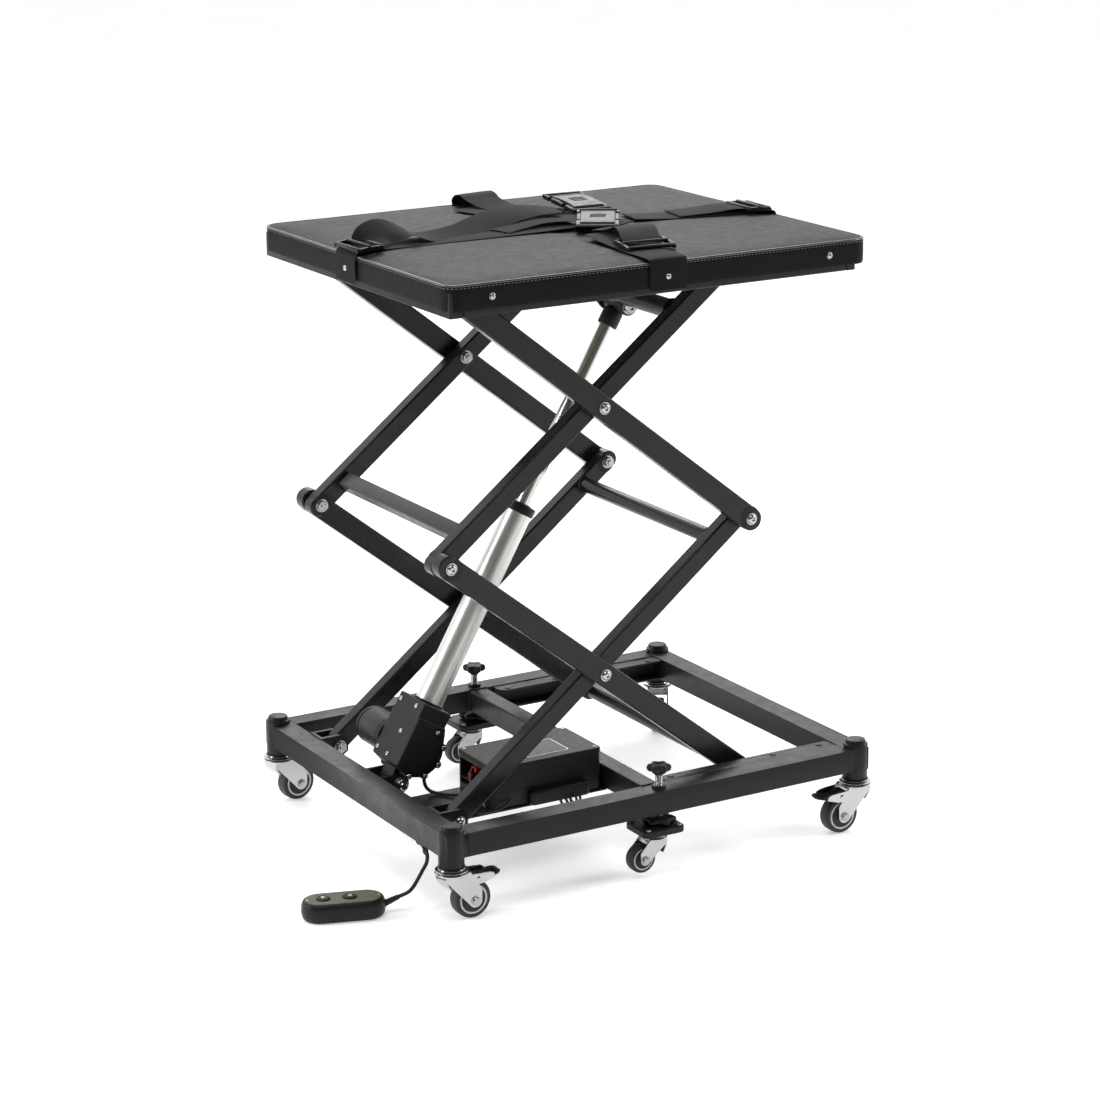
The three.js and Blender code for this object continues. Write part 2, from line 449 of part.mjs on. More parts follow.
// ---------------------------------------------------------------- handset and its lead
const HS = [-95, 91], HS_TURN = -18.6 * Math.PI / 180;
const RELIEF = [49, 12], RELIEF_TILT = 22 * Math.PI / 180;
{
  const c = Math.cos(HS_TURN), s = Math.sin(HS_TURN);
  const at = (m) => m.rotate([0, 0, HS_TURN * 180 / Math.PI]).translate([HS[0], HS[1], FLOOR]);
  const bodyShape = barShape([-28, 0], [28, 0], 23.5, 23.5, 23.5);
  let body = union(plate(bodyShape, 0, 21), plate(barShape([-28, 0], [28, 0], 20, 20, 20), 20.9, 26),
    cyl("x", 0, 0, 0, 21, 4.2, 16, 3.2).rotate([0, -22, 0]).translate([RELIEF[0], 0, RELIEF[1]]));
  body = body.subtract(cyl("z", -24, 0, 21, 36, 8.5, 24)).subtract(cyl("z", 8, 0, 21, 36, 8.5, 24));
  place("handset_body", at(body), mats.plastic);
  place("handset_button_up", at(cyl("z", -24, 0, 22.6, 27.6, 8, 24)), mats.button);
  place("handset_button_down", at(cyl("z", 8, 0, 22.6, 27.6, 8, 24)), mats.button);
}
// lead: from the control box gland to a small coil behind the box, then out under the
// left end tube through two clips and down to the handset
const LEAD_D = 5;
const COIL = { x: 250, y: 255, rm: 29, z0: -27.2, h: 15.3 };
{
  const ring = new THREE.LatheGeometry([[COIL.rm - 5, 0], [COIL.rm + 5, 0], [COIL.rm + 5, COIL.h], [COIL.rm - 5, COIL.h], [COIL.rm - 5, 0]]
    .map((v) => new THREE.Vector2(v[0], v[1])), 32);
  ring.rotateX(Math.PI / 2);
  ring.translate(COIL.x, COIL.y, COIL.z0);
  place("lead_coil", solid(ring), mats.cable);
}
const LEAD_POINTS = [
  [214.6, 241.6, -24.4], [210, 231.5, -24.3], [201, 226, -25.2], [189, 222, -30.5], [160, 216, -36.5], [120, 196, -38],
  [80, 162, -38], [48, 134, -37], [26, 116, -36.7], [15, 101, -38.6], [14.5, 89, -42.5], [16, 81.5, -50.5],
  [15, 81, -61], [9, 80.5, -70], [-2, 74.5, -79], [-11, 69, -84.4], [-19.2, 65.6, -87.6],
];
{
  const u = RELIEF[0] + 21.4 * Math.cos(RELIEF_TILT), v = RELIEF[1] + 21.4 * Math.sin(RELIEF_TILT);
  const end = [HS[0] + u * Math.cos(HS_TURN), HS[1] + u * Math.sin(HS_TURN), FLOOR + v];
  const pts = LEAD_POINTS.concat([end]).map((v) => new THREE.Vector3(...v));
  const path = new THREE.CatmullRomCurve3(pts, false, "centripetal");
  const circle = new THREE.Shape();
  circle.absarc(0, 0, LEAD_D / 2, 0, 2 * Math.PI, false);
  const g = new THREE.ExtrudeGeometry(circle, { steps: 44, curveSegments: 4, bevelEnabled: false, extrudePath: path });
  place("handset_lead", solid(g), mats.cable);
}

root.position.set(-ORIGIN[0], -ORIGIN[1], -ORIGIN[2]);
root.updateMatrixWorld(true);
export default root;
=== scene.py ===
"""Electric double-scissor lifting platform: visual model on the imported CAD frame."""
import math

import bmesh
import bpy
from mathutils import Matrix, Vector


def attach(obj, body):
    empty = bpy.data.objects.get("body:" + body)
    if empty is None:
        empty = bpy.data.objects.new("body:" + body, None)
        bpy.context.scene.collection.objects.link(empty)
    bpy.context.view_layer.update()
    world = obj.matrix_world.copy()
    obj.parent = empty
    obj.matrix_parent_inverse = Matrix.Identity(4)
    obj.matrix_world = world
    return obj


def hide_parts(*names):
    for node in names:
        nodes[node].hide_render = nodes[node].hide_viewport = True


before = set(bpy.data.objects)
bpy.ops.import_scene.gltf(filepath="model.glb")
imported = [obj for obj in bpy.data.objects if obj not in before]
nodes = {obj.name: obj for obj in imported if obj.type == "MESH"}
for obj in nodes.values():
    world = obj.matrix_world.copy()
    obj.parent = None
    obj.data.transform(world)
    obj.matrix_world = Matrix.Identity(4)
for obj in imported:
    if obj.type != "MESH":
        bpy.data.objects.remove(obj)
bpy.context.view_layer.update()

# ------------------------------------------------------------------ frame
# Lengths below are millimetres in the design frame: zero at the base frame's
# front left corner, level with the tops of the base tubes.
OX, OY, OZ = 241.76, 252.0, -112.0


def D(x, y, z):
    return Vector(((x - OX) / 1000, (y - OY) / 1000, (z - OZ) / 1000))


TH = math.radians(38.3)
CT, ST = math.cos(TH), math.sin(TH)
SA, SB = 255.5, 273.3
PX, PZ = 57.6, -14.5
C1 = (PX + SA * CT, PZ + SA * ST)
MR = (C1[0] + SB * CT, C1[1] + SB * ST)
ML = (C1[0] - SB * CT, C1[1] + SB * ST)
C2 = (C1[0], C1[1] + 2 * SB * ST)
TL = (C2[0] - SA * CT, C2[1] + SA * ST)
TR = (C2[0] + SA * CT, C2[1] + SA * ST)
LR = (PX + 2 * SA * CT, PZ)
TOPZ = TL[1]
ACT = (C2[0] + 159.3 * CT + 20.6 * ST, C2[1] + 159.3 * ST - 20.6 * CT)
ALEN = math.hypot(ACT[0] - PX, ACT[1] - PZ)
PHI = math.atan2(ACT[1] - PZ, ACT[0] - PX)
PAD_Z = TOPZ + 23.6
EDGE0, EDGE1, EDGEY0, EDGEY1 = 17.4, 608.2, 4.0, 500.0


def my(y, rear):
    return 504.0 - y if rear else y


# ------------------------------------------------------------------ materials
def nt(name, base, rough, metal=0.0, spec=0.5):
    m = bpy.data.materials.new(name)
    m.use_nodes = True
    n = m.node_tree.nodes
    b = n["Principled BSDF"]
    b.inputs["Base Color"].default_value = (*base, 1)
    b.inputs["Roughness"].default_value = rough
    b.inputs["Metallic"].default_value = metal
    b.inputs["Specular IOR Level"].default_value = spec
    return m, n, m.node_tree.links, b


def coords(n):
    return n.new("ShaderNodeTexCoord").outputs["Object"]


def noise(n, l, vec, scale, detail=3.0, rough=0.55, stretch=None):
    if stretch:
        mp = n.new("ShaderNodeMapping")
        mp.inputs["Scale"].default_value = stretch
        l.new(vec, mp.inputs["Vector"])
        vec = mp.outputs["Vector"]
    t = n.new("ShaderNodeTexNoise")
    t.inputs["Scale"].default_value = scale
    t.inputs["Detail"].default_value = detail
    t.inputs["Roughness"].default_value = rough
    l.new(vec, t.inputs["Vector"])
    return t.outputs["Fac"]


def ramp(n, l, fac, stops):
    r = n.new("ShaderNodeValToRGB")
    e = r.color_ramp.elements
    while len(e) < len(stops):
        e.new(0.5)
    for i, (p, c) in enumerate(stops):
        e[i].position = p
        e[i].color = (*c, 1) if len(c) == 3 else c
    l.new(fac, r.inputs["Fac"])
    return r.outputs["Color"]


def span(n, l, fac, a, b, lo=0.3, hi=0.7):
    r = n.new("ShaderNodeMapRange")
    r.inputs["From Min"].default_value = lo
    r.inputs["From Max"].default_value = hi
    r.inputs["To Min"].default_value = a
    r.inputs["To Max"].default_value = b
    l.new(fac, r.inputs["Value"])
    return r.outputs["Result"]


def bump(n, l, b, height, strength, dist, chain=None):
    p = n.new("ShaderNodeBump")
    p.inputs["Strength"].default_value = strength
    p.inputs["Distance"].default_value = dist
    l.new(height, p.inputs["Height"])
    if chain is not None:
        l.new(chain, p.inputs["Normal"])
    l.new(p.outputs["Normal"], b.inputs["Normal"])
    return p.outputs["Normal"]


def powder(name, c, rough=0.42, grain=1100.0, strength=0.16, var=0.08, spec=0.2):
    m, n, l, b = nt(name, c, rough, 0.0, spec)
    v = coords(n)
    big = noise(n, l, v, 9.0, 4.0)
    lo = tuple(x * (1 - var) for x in c)
    hi = tuple(min(1, x * (1 + var)) for x in c)
    l.new(ramp(n, l, big, [(0.3, lo), (0.7, hi)]), b.inputs["Base Color"])
    fine = noise(n, l, v, grain, 2.0)
    l.new(span(n, l, noise(n, l, v, 60.0, 4.0), rough - 0.05, rough + 0.08), b.inputs["Roughness"])
    bump(n, l, b, fine, strength, 0.0004)
    return m


def plastic(name, c, rough=0.5, grain=1800.0, strength=0.2, spec=0.24):
    m, n, l, b = nt(name, c, rough, 0.0, spec)
    v = coords(n)
    lo = tuple(x * 0.85 for x in c)
    hi = tuple(min(1, x * 1.2) for x in c)
    l.new(ramp(n, l, noise(n, l, v, 35.0, 4.0), [(0.3, lo), (0.7, hi)]), b.inputs["Base Color"])
    l.new(span(n, l, noise(n, l, v, 150.0, 3.0), rough - 0.06, rough + 0.07), b.inputs["Roughness"])
    bump(n, l, b, noise(n, l, v, grain, 2.0), strength, 0.0003)
    return m


def plated(name, c, rough=0.12, var=0.06, scratch=0.04):
    m, n, l, b = nt(name, c, rough, 1.0)
    v = coords(n)
    l.new(span(n, l, noise(n, l, v, 70.0, 5.0), rough - 0.03, rough + var), b.inputs["Roughness"])
    lo = tuple(x * 0.93 for x in c)
    l.new(ramp(n, l, noise(n, l, v, 25.0, 3.0), [(0.35, lo), (0.65, c)]), b.inputs["Base Color"])
    bump(n, l, b, noise(n, l, v, 420.0, 3.0), scratch, 0.0002)
    return m


def brushed(name, c, rough, axis_rot, along=8.0, across=900.0):
    # fine lines along the local long axis, given as a rotation about Y
    m, n, l, b = nt(name, c, rough, 1.0)
    v = coords(n)
    mp = n.new("ShaderNodeMapping")
    mp.vector_type = "TEXTURE"
    mp.inputs["Rotation"].default_value = (0, axis_rot, 0)
    l.new(v, mp.inputs["Vector"])
    lines = noise(n, l, mp.outputs["Vector"], 1.0, 3.0, 0.6, (along, across, across))
    l.new(span(n, l, lines, rough - 0.06, rough + 0.1), b.inputs["Roughness"])
    lo = tuple(x * 0.9 for x in c)
    l.new(ramp(n, l, lines, [(0.3, lo), (0.7, c)]), b.inputs["Base Color"])
    bump(n, l, b, lines, 0.08, 0.0002)
    return m


def leather(name, c):
    m, n, l, b = nt(name, c, 0.55, 0.0, 0.09)
    v = coords(n)
    vo = n.new("ShaderNodeTexVoronoi")
    vo.feature = "DISTANCE_TO_EDGE"
    vo.inputs["Scale"].default_value = 850.0
    wob = noise(n, l, v, 300.0, 3.0)
    mix = n.new("ShaderNodeVectorMath")
    mix.operation = "MULTIPLY_ADD"
    mix.inputs[1].default_value = (0.0012, 0.0012, 0.0012)
    l.new(wob, mix.inputs[0])
    l.new(v, mix.inputs[2])
    l.new(mix.outputs["Vector"], vo.inputs["Vector"])
    cell = span(n, l, vo.outputs["Distance"], 0.0, 1.0, 0.0, 0.25)
    big = noise(n, l, v, 14.0, 5.0)
    lo = tuple(x * 0.92 for x in c)
    hi = tuple(x * 1.1 for x in c)
    l.new(ramp(n, l, big, [(0.3, lo), (0.7, hi)]), b.inputs["Base Color"])
    l.new(span(n, l, noise(n, l, v, 90.0, 4.0), 0.5, 0.58), b.inputs["Roughness"])
    bump(n, l, b, cell, 0.2, 0.0003)
    return m


def webbing(name, c):
    # woven ribs from the strap's own UVs, which are in metres: u across, v along
    m, n, l, b = nt(name, c, 0.75, 0.0, 0.12)
    uv = n.new("ShaderNodeUVMap")
    mp = n.new("ShaderNodeMapping")
    mp.inputs["Scale"].default_value = (620.0, 330.0, 1.0)
    l.new(uv.outputs["UV"], mp.inputs["Vector"])
    w1 = n.new("ShaderNodeTexWave")
    w1.bands_direction = "X"
    w1.inputs["Scale"].default_value = 0.31
    w1.inputs["Distortion"].default_value = 0.4
    l.new(mp.outputs["Vector"], w1.inputs["Vector"])
    w2 = n.new("ShaderNodeTexWave")
    w2.bands_direction = "DIAGONAL"
    w2.inputs["Scale"].default_value = 0.42
    w2.inputs["Distortion"].default_value = 0.6
    l.new(mp.outputs["Vector"], w2.inputs["Vector"])
    mx = n.new("ShaderNodeMath")
    mx.operation = "MULTIPLY"
    l.new(w1.outputs["Fac"], mx.inputs[0])
    l.new(w2.outputs["Fac"], mx.inputs[1])
    lo = tuple(x * 0.6 for x in c)
    hi = tuple(x * 1.7 for x in c)
    l.new(ramp(n, l, mx.outputs["Value"], [(0.0, lo), (0.8, hi)]), b.inputs["Base Color"])
    bump(n, l, b, mx.outputs["Value"], 0.45, 0.0004)
    b.inputs["Sheen Weight"].default_value = 0.04
    b.inputs["Sheen Roughness"].default_value = 0.5
    return m


M = {}
M["frame"] = powder("frame_coat", (0.011, 0.011, 0.0108), 0.36, 1100.0, 0.12)
# a lighter copy of the frame's own powder coat for the rear and right-hand parts: painted light on their lit faces
M["frame_top"] = powder("frame_coat_rear", (0.013, 0.013, 0.0125), 0.38, 1100.0, 0.12)
M["arm"] = powder("arm_coat", (0.0078, 0.0082, 0.0098), 0.26, 900.0, 0.06, 0.06, 0.3)
M["track"] = powder("track_coat", (0.026, 0.026, 0.025), 0.42)
M["black"] = plastic("black_moulding", (0.009, 0.009, 0.0095), 0.42)
M["gear"] = plastic("gear_case", (0.0095, 0.0095, 0.01), 0.46, 1400.0, 0.25)
M["box"] = plastic("box_moulding", (0.017, 0.017, 0.0145), 0.46, 1500.0, 0.25)
M["shine"] = plastic("polished_moulding", (0.006, 0.006, 0.0065), 0.38, 900.0, 0.1, 0.22)
M["chrome"] = plated("chrome_plate", (0.5, 0.5, 0.505), 0.19)
M["zinc"] = plated("zinc_plate", (0.42, 0.42, 0.41), 0.24, 0.08)
M["steel"] = plated("ground_steel", (0.72, 0.72, 0.69), 0.2, 0.08)
M["alu"] = brushed("satin_aluminium", (0.76, 0.76, 0.73), 0.34, -PHI)
M["rod"] = brushed("ground_rod", (0.74, 0.74, 0.7), 0.2, -PHI)
M["leather"] = leather("grained_leather", (0.0062, 0.0062, 0.0068))
M["piping"] = plastic("piping_skin", (0.012, 0.012, 0.0125), 0.2, 900.0, 0.12, 0.9)
# pale grey thread: painted highlight for the dashed glints along the sewn edge
M["thread"] = plastic("sewing_thread_painted_glint", (0.16, 0.16, 0.16), 0.5, 2600.0, 0.3)
M["web"] = webbing("woven_webbing", (0.0052, 0.0052, 0.0056))
M["tyre"] = plastic("tyre_tread", (0.035, 0.035, 0.038), 0.5, 1200.0, 0.25)
M["ring"] = plastic("wheel_ring", (0.62, 0.62, 0.6), 0.4, 900.0, 0.1)
M["hub"] = plastic("wheel_hub", (0.035, 0.035, 0.037), 0.5)
M["nylon"] = plastic("natural_nylon", (0.55, 0.53, 0.46), 0.45, 700.0, 0.1)
M["face"] = plastic("handset_face", (0.1, 0.112, 0.075), 0.55, 1500.0, 0.25)
M["button"] = plastic("button_rubber", (0.022, 0.026, 0.018), 0.6, 1500.0, 0.2)
M["cable"] = plastic("cable_sheath", (0.018, 0.018, 0.019), 0.42, 900.0, 0.15)
M["yellow"] = plastic("wire_yellow", (0.62, 0.42, 0.03), 0.45)
M["red"] = plastic("wire_red", (0.42, 0.03, 0.025), 0.45)
M["white"] = plastic("connector_white", (0.72, 0.71, 0.66), 0.45, 900.0, 0.1)
M["label"] = plastic("blank_plate", (0.06, 0.06, 0.056), 0.4, 2000.0, 0.02)
M["silver"] = plated("plate_edge", (0.75, 0.75, 0.74), 0.3, 0.05)
M["brass"] = plated("brass_insert", (0.72, 0.58, 0.3), 0.25, 0.08)


# ------------------------------------------------------------------ geometry
COUNT = {}


def finish_obj(name, me, material, body, bevel=0.0, angle=35, segments=3, smooth=True, sub=0):
    o = bpy.data.objects.new(name, me)
    bpy.context.scene.collection.objects.link(o)
    mats_ = material if isinstance(material, (list, tuple)) else [material]
    for m in mats_:
        me.materials.append(m)
    if smooth:
        for p in me.polygons:
            p.use_smooth = True
    if bevel:
        w = o.modifiers.new("bevel", "BEVEL")
        w.width = bevel / 1000
        w.segments = segments
        w.limit_method = "ANGLE"
        w.angle_limit = math.radians(angle)
        w.harden_normals = True
        w.use_clamp_overlap = True
    if sub:
        s = o.modifiers.new("sub", "SUBSURF")
        s.levels = s.render_levels = sub
    if smooth and not sub and not bevel:
        sharp(me, angle)
    if body:
        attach(o, body)
    return o


def sharp(me, angle):
    bm = bmesh.new()
    bm.from_mesh(me)
    lim = math.radians(angle)
    for e in bm.edges:
        if len(e.link_faces) == 2 and e.calc_face_angle(0) > lim:
            e.smooth = False
    bm.to_mesh(me)
    bm.free()


def from_bm(name, bm, material, body, **k):
    bmesh.ops.recalc_face_normals(bm, faces=bm.faces)
    me = bpy.data.meshes.new(name)
    bm.to_mesh(me)
    bm.free()
    return finish_obj(name, me, material, body, **k)


def lathe_into(bm, prof, origin, direction, seg=32, closed=False, fn=None, mat=0):
    """prof: (radius, height) in mm along direction; origin is a world Vector in metres."""
    d = direction.normalized()
    t = Vector((0, 0, 1)) if abs(d.z) < 0.9 else Vector((1, 0, 0))
    a = d.cross(t).normalized()
    b = d.cross(a).normalized()
    rings = []
    for k, (r, h) in enumerate(prof):
        row = []
        for i in range(seg):
            q = 2 * math.pi * i / seg
            rr = r * (fn(k, q) if fn else 1.0)
            row.append(bm.verts.new(origin + d * (h / 1000) + (a * math.cos(q) + b * math.sin(q)) * (rr / 1000)))
        rings.append(row)
    n = len(rings)
    for k in range(n if closed else n - 1):
        u, v = rings[k], rings[(k + 1) % n]
        for i in range(seg):
            f = bm.faces.new((u[i], u[(i + 1) % seg], v[(i + 1) % seg], v[i]))
            f.material_index = mat
    if not closed:
        for row in (rings[0], rings[-1]):
            f = bm.faces.new(row)
            f.material_index = mat
    return rings


def lathe(name, prof, origin, direction, material, body, seg=40, closed=False, angle=35, **k):
    bm = bmesh.new()
    lathe_into(bm, prof, origin, direction, seg, closed)
    return from_bm(name, bm, material, body, angle=angle, **k)


def prism(name, pts, plane, lo, hi, material, body, bevel=0.8, angle=35, segments=3, xf=None):
    """pts in mm in the plane ("xz", "xy" or "yz"), pulled from lo to hi along the third axis."""
    bm = bmesh.new()
    rows = []
    for h in (lo, hi):
        row = []
        for p, q in pts:
            c = {"xz": (p, h, q), "xy": (p, q, h), "yz": (h, p, q)}[plane]
            v = D(*c)
            row.append(bm.verts.new(xf @ v if xf else v))
        rows.append(row)
    n = len(pts)
    bm.faces.new(rows[0])
    bm.faces.new(list(reversed(rows[1])))
    for i in range(n):
        bm.faces.new((rows[0][i], rows[0][(i + 1) % n], rows[1][(i + 1) % n], rows[1][i]))
    return from_bm(name, bm, material, body, bevel=bevel, angle=angle, segments=segments)


def rbox(name, x0, x1, y0, y1, z0, z1, material, body, bevel=1.0, xf=None, segments=3):
    return prism(name, [(x0, y0), (x1, y0), (x1, y1), (x0, y1)], "xy", z0, z1, material, body, bevel, 30, segments, xf)


def rrect(x0, x1, y0, y1, r, n=6):
    out = []
    for cx, cy, a0 in ((x1 - r, y0 + r, -90), (x1 - r, y1 - r, 0), (x0 + r, y1 - r, 90), (x0 + r, y0 + r, 180)):
        for i in range(n + 1):
            a = math.radians(a0 + 90 * i / n)
            out.append((cx + r * math.cos(a), cy + r * math.sin(a)))
    return out


def bar_pts(p, q, h, e0, e1, n=14, square0=False, square1=False):
    L = math.hypot(q[0] - p[0], q[1] - p[1])
    ux, uz = (q[0] - p[0]) / L, (q[1] - p[1]) / L

    def P(s, m):
        return (p[0] + ux * s - uz * m, p[1] + uz * s + ux * m)

    out = []
    if square0:
        out += [P(-e0, h), P(-e0, -h)]
    else:
        for i in range(n + 1):
            a = math.pi / 2 + math.pi * i / n
            out.append(P(-max(0, e0 - h) + min(h, e0) * math.cos(a), h * math.sin(a)))
    if square1:
        out += [P(L + e1, -h), P(L + e1, h)]
    else:
        for i in range(n + 1):
            a = -math.pi / 2 + math.pi * i / n
            out.append(P(L + max(0, e1 - h) + min(h, e1) * math.cos(a), h * math.sin(a)))
    return out


def tube(name, pts, r, material, body, cyclic=False, res=6, bez=False, caps=True):
    cu = bpy.data.curves.new(name, "CURVE")
    cu.dimensions = "3D"
    cu.bevel_depth = r / 1000
    cu.bevel_resolution = res
    cu.use_fill_caps = caps
    cu.resolution_u = 10
    s = cu.splines.new("NURBS")
    s.points.add(len(pts) - 1)
    for i, p in enumerate(pts):
        s.points[i].co = (*p, 1)
    s.order_u = 4
    s.use_endpoint_u = not cyclic
    s.use_cyclic_u = cyclic
    cu.materials.append(material)
    o = bpy.data.objects.new(name, cu)
    bpy.context.scene.collection.objects.link(o)
    if body:
        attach(o, body)
    return o


def catmull(pts, per=8):
    out = []
    n = len(pts)
    for i in range(n - 1):
        p0 = pts[max(i - 1, 0)]
        p1, p2 = pts[i], pts[i + 1]
        p3 = pts[min(i + 2, n - 1)]
        t0, t1 = 0.0, max((p1 - p0).length, 1e-6) ** 0.5
        t2 = t1 + max((p2 - p1).length, 1e-6) ** 0.5
        t3 = t2 + max((p3 - p2).length, 1e-6) ** 0.5
        if i == 0:
            p0 = p1 + (p1 - p2)
            t1 = (p1 - p0).length ** 0.5
            t2 = t1 + (p2 - p1).length ** 0.5
            t3 = t2 + max((p3 - p2).length, 1e-6) ** 0.5
        if i == n - 2:
            p3 = p2 + (p2 - p1)
            t3 = t2 + (p3 - p2).length ** 0.5
        for k in range(per):
            t = t1 + (t2 - t1) * k / per
            a1 = p0 * ((t1 - t) / (t1 - t0)) + p1 * ((t - t0) / (t1 - t0))
            a2 = p1 * ((t2 - t) / (t2 - t1)) + p2 * ((t - t1) / (t2 - t1))
            a3 = p2 * ((t3 - t) / (t3 - t2)) + p3 * ((t - t2) / (t3 - t2))
            b1 = a1 * ((t2 - t) / (t2 - t0)) + a2 * ((t - t0) / (t2 - t0))
            b2 = a2 * ((t3 - t) / (t3 - t1)) + a3 * ((t - t1) / (t3 - t1))
            out.append(b1 * ((t2 - t) / (t2 - t1)) + b2 * ((t - t1) / (t2 - t1)))
    out.append(pts[-1].copy())
    return out


def hexf(q):
    w = (q + math.pi / 6) % (math.pi / 3) - math.pi / 6
    return 0.866 / math.cos(w)


def button_bolt(bm, origin, direction, r, h, socket=0.42, seg=36):
    """Domed socket-head bolt, seen from the tip of direction."""
    prof = [(r, 0), (r, 0.25 * h), (0.94 * r, 0.52 * h), (0.8 * r, 0.76 * h), (0.62 * r, 0.92 * h), (0.52 * r, 0.97 * h),
            (socket * r, 0.97 * h), (socket * r * 0.97, 0.35 * h), (0.05 * r, 0.3 * h)]

    def fn(k, q):
        return hexf(q) * 1.05 if k in (6, 7) else 1.0

    lathe_into(bm, prof, origin, direction, seg, False, fn)


def cross_screw(bm, origin, direction, r, h, seg=40):
    prof = [(r, 0), (r, 0.2 * h), (0.93 * r, 0.55 * h), (0.76 * r, 0.85 * h), (0.6 * r, 0.97 * h), (0.5 * r, h), (0.48 * r, 0.45 * h), (0.05 * r, 0.4 * h)]

    def fn(k, q):
        return (0.34 + 0.66 * abs(math.cos(2 * q)) ** 5) if k in (5, 6) else 1.0

    lathe_into(bm, prof, origin, direction, seg, False, fn)


def hexnut(bm, origin, direction, r, h, bore=0.5):
    def fn(k, q):
        return hexf(q) / 0.866 * 0.9 if 1 <= k <= 2 else 1.0

    lathe_into(bm, [(r * 0.84, 0), (r, 0.12 * h), (r, 0.86 * h), (r * 0.86, h), (bore * r, h), (bore * r, 0.5 * h)], origin, direction, 36, False, fn)


def washer(bm, origin, direction, r, t, bore):
    lathe_into(bm, [(bore, 0), (r, 0), (r, t), (bore, t)], origin, direction, 32, True)


# ------------------------------------------------------------------ CAD nodes kept, with bevels and finishes
def keep(name, material, bevel=1.2, angle=40):
    o = nodes[name]
    o.data.materials.clear()
    o.data.materials.append(material)
    for p in o.data.polygons:
        p.use_smooth = True
    if bevel:
        w = o.modifiers.new("bevel", "BEVEL")
        w.width = bevel / 1000
        w.segments = 3
        w.limit_method = "ANGLE"
        w.angle_limit = math.radians(angle)
        w.harden_normals = True
    return o


# a merged copy of a CAD node, so that bevels run cleanly round its corners
def clean_copy(node, name, material, body, bevel, angle=40, segments=3):
    bm = bmesh.new()
    bm.from_mesh(nodes[node].data)
    bmesh.ops.remove_doubles(bm, verts=bm.verts, dist=2e-6)
    bmesh.ops.dissolve_limit(bm, angle_limit=math.radians(2), verts=bm.verts, edges=bm.edges)
    o = from_bm(name, bm, material, body, bevel=bevel, angle=angle, segments=segments)
    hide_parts(node)
    return o


clean_copy("base_front_tube", "front_tube", M["frame"], "base", 2.2)
clean_copy("base_rear_tube", "rear_tube", M["frame_top"], "base", 2.2)
clean_copy("base_left_end", "left_end_frame", M["frame"], "base", 1.0)
clean_copy("base_right_end", "right_end_frame", M["frame_top"], "base", 1.2)
clean_copy("base_crossmember", "crossmember", M["frame_top"], "base", 2.2)
clean_copy("control_tray", "tray", M["frame"], "base", 0.5)
for s in ("front", "rear"):
    clean_copy("roller_track_" + s, "base_track_" + s, M["track"], "base", 0.5)
    clean_copy("top_track_" + s, "deck_track_" + s, M["track"], "platform", 0.5)
    clean_copy("platform_%s_rail" % s, "deck_rail_" + s, M["frame"], "platform", 2.0)
    clean_copy("base_roller_" + s, "low_roller_" + s, M["nylon"], "base_roller_" + s, 0.8)
    clean_copy("top_roller_" + s, "high_roller_" + s, M["nylon"], "top_roller_" + s, 0.8)
clean_copy("platform_left_end", "deck_left_end", M["frame"], "platform", 1.0)
clean_copy("platform_right_end", "deck_right_end", M["frame"], "platform", 1.2)

# post caps, weld beads and track screws
for i, (x, y) in enumerate(((12.5, 12.5), (607.5, 12.5), (12.5, 491.5), (607.5, 491.5))):
    lathe("post_cap_%d" % i, [(15.7, 3.0), (15.9, 3.8), (15.5, 4.6), (13.4, 5.2), (13.0, 8.6), (12.0, 9.9), (9.5, 10.6), (4, 10.9), (0.3, 10.9)],
          D(x, y, 0), Vector((0, 0, 1)), M["frame"], "base")
    sx = 1 if x < 300 else -1
    sy = 1 if y < 250 else -1
    for k, (ax, ay) in enumerate((((x + sx * 15.5), y + sy * 1), (x + sx * 1, y + sy * 15.5))):
        pts = [D(ax + (sx * (0.6 + 0.5 * math.sin(j * 2.1)) if k == 0 else 0), ay + (0 if k == 0 else sy * (0.6 + 0.5 * math.sin(j * 2.3))), -29 + j * 3.1) for j in range(11)]
        tube("post_weld_%d_%d" % (i, k), pts, 1.5, M["frame"], "base", res=3)


def bead(name, a, b, r, material, body, n=14):
    pts = []
    d = b - a
    side = d.cross(Vector((0.3, 0.2, 0.9))).normalized()
    for j in range(n + 1):
        pts.append(a + d * (j / n) + side * (0.0006 * math.sin(j * 2.4)))
    return tube(name, pts, r, material, body, res=3)


for rear in (False, True):
    s = "rear" if rear else "front"
    yy = my(30.6, rear)
    bead("cross_weld_%s" % s, D(292.8, yy, 0.2), D(318.2, yy, 0.2), 1.3, M["frame_top"], "base")
    bead("cross_weld_side_%s" % s, D(292.2, yy, -29), D(292.2, yy, -1), 1.3, M["frame_top"], "base")
    bead("cross_weld_other_%s" % s, D(318.8, yy, -29), D(318.8, yy, -1), 1.3, M["frame_top"], "base")
    bm = bmesh.new()
    for x in (345, 420, 500, 572):
        lathe_into(bm, [(4.4, -0.4), (4.4, 0.2), (3.9, 0.9), (2.2, 1.2), (0.3, 1.2)], D(x, my(44, rear), -1), Vector((0, 0, 1)), 20)
    from_bm("track_rivets_" + s, bm, M["black"], "base")
    for x0 in (40, 120, 200, 380, 470, 560):
        if not rear:
            continue
        bead("rail_weld_%d" % x0, D(x0, my(30.4, rear), -0.4), D(x0 + 18, my(30.4, rear), -0.4), 0.9, M["frame_top"], "base", 7)

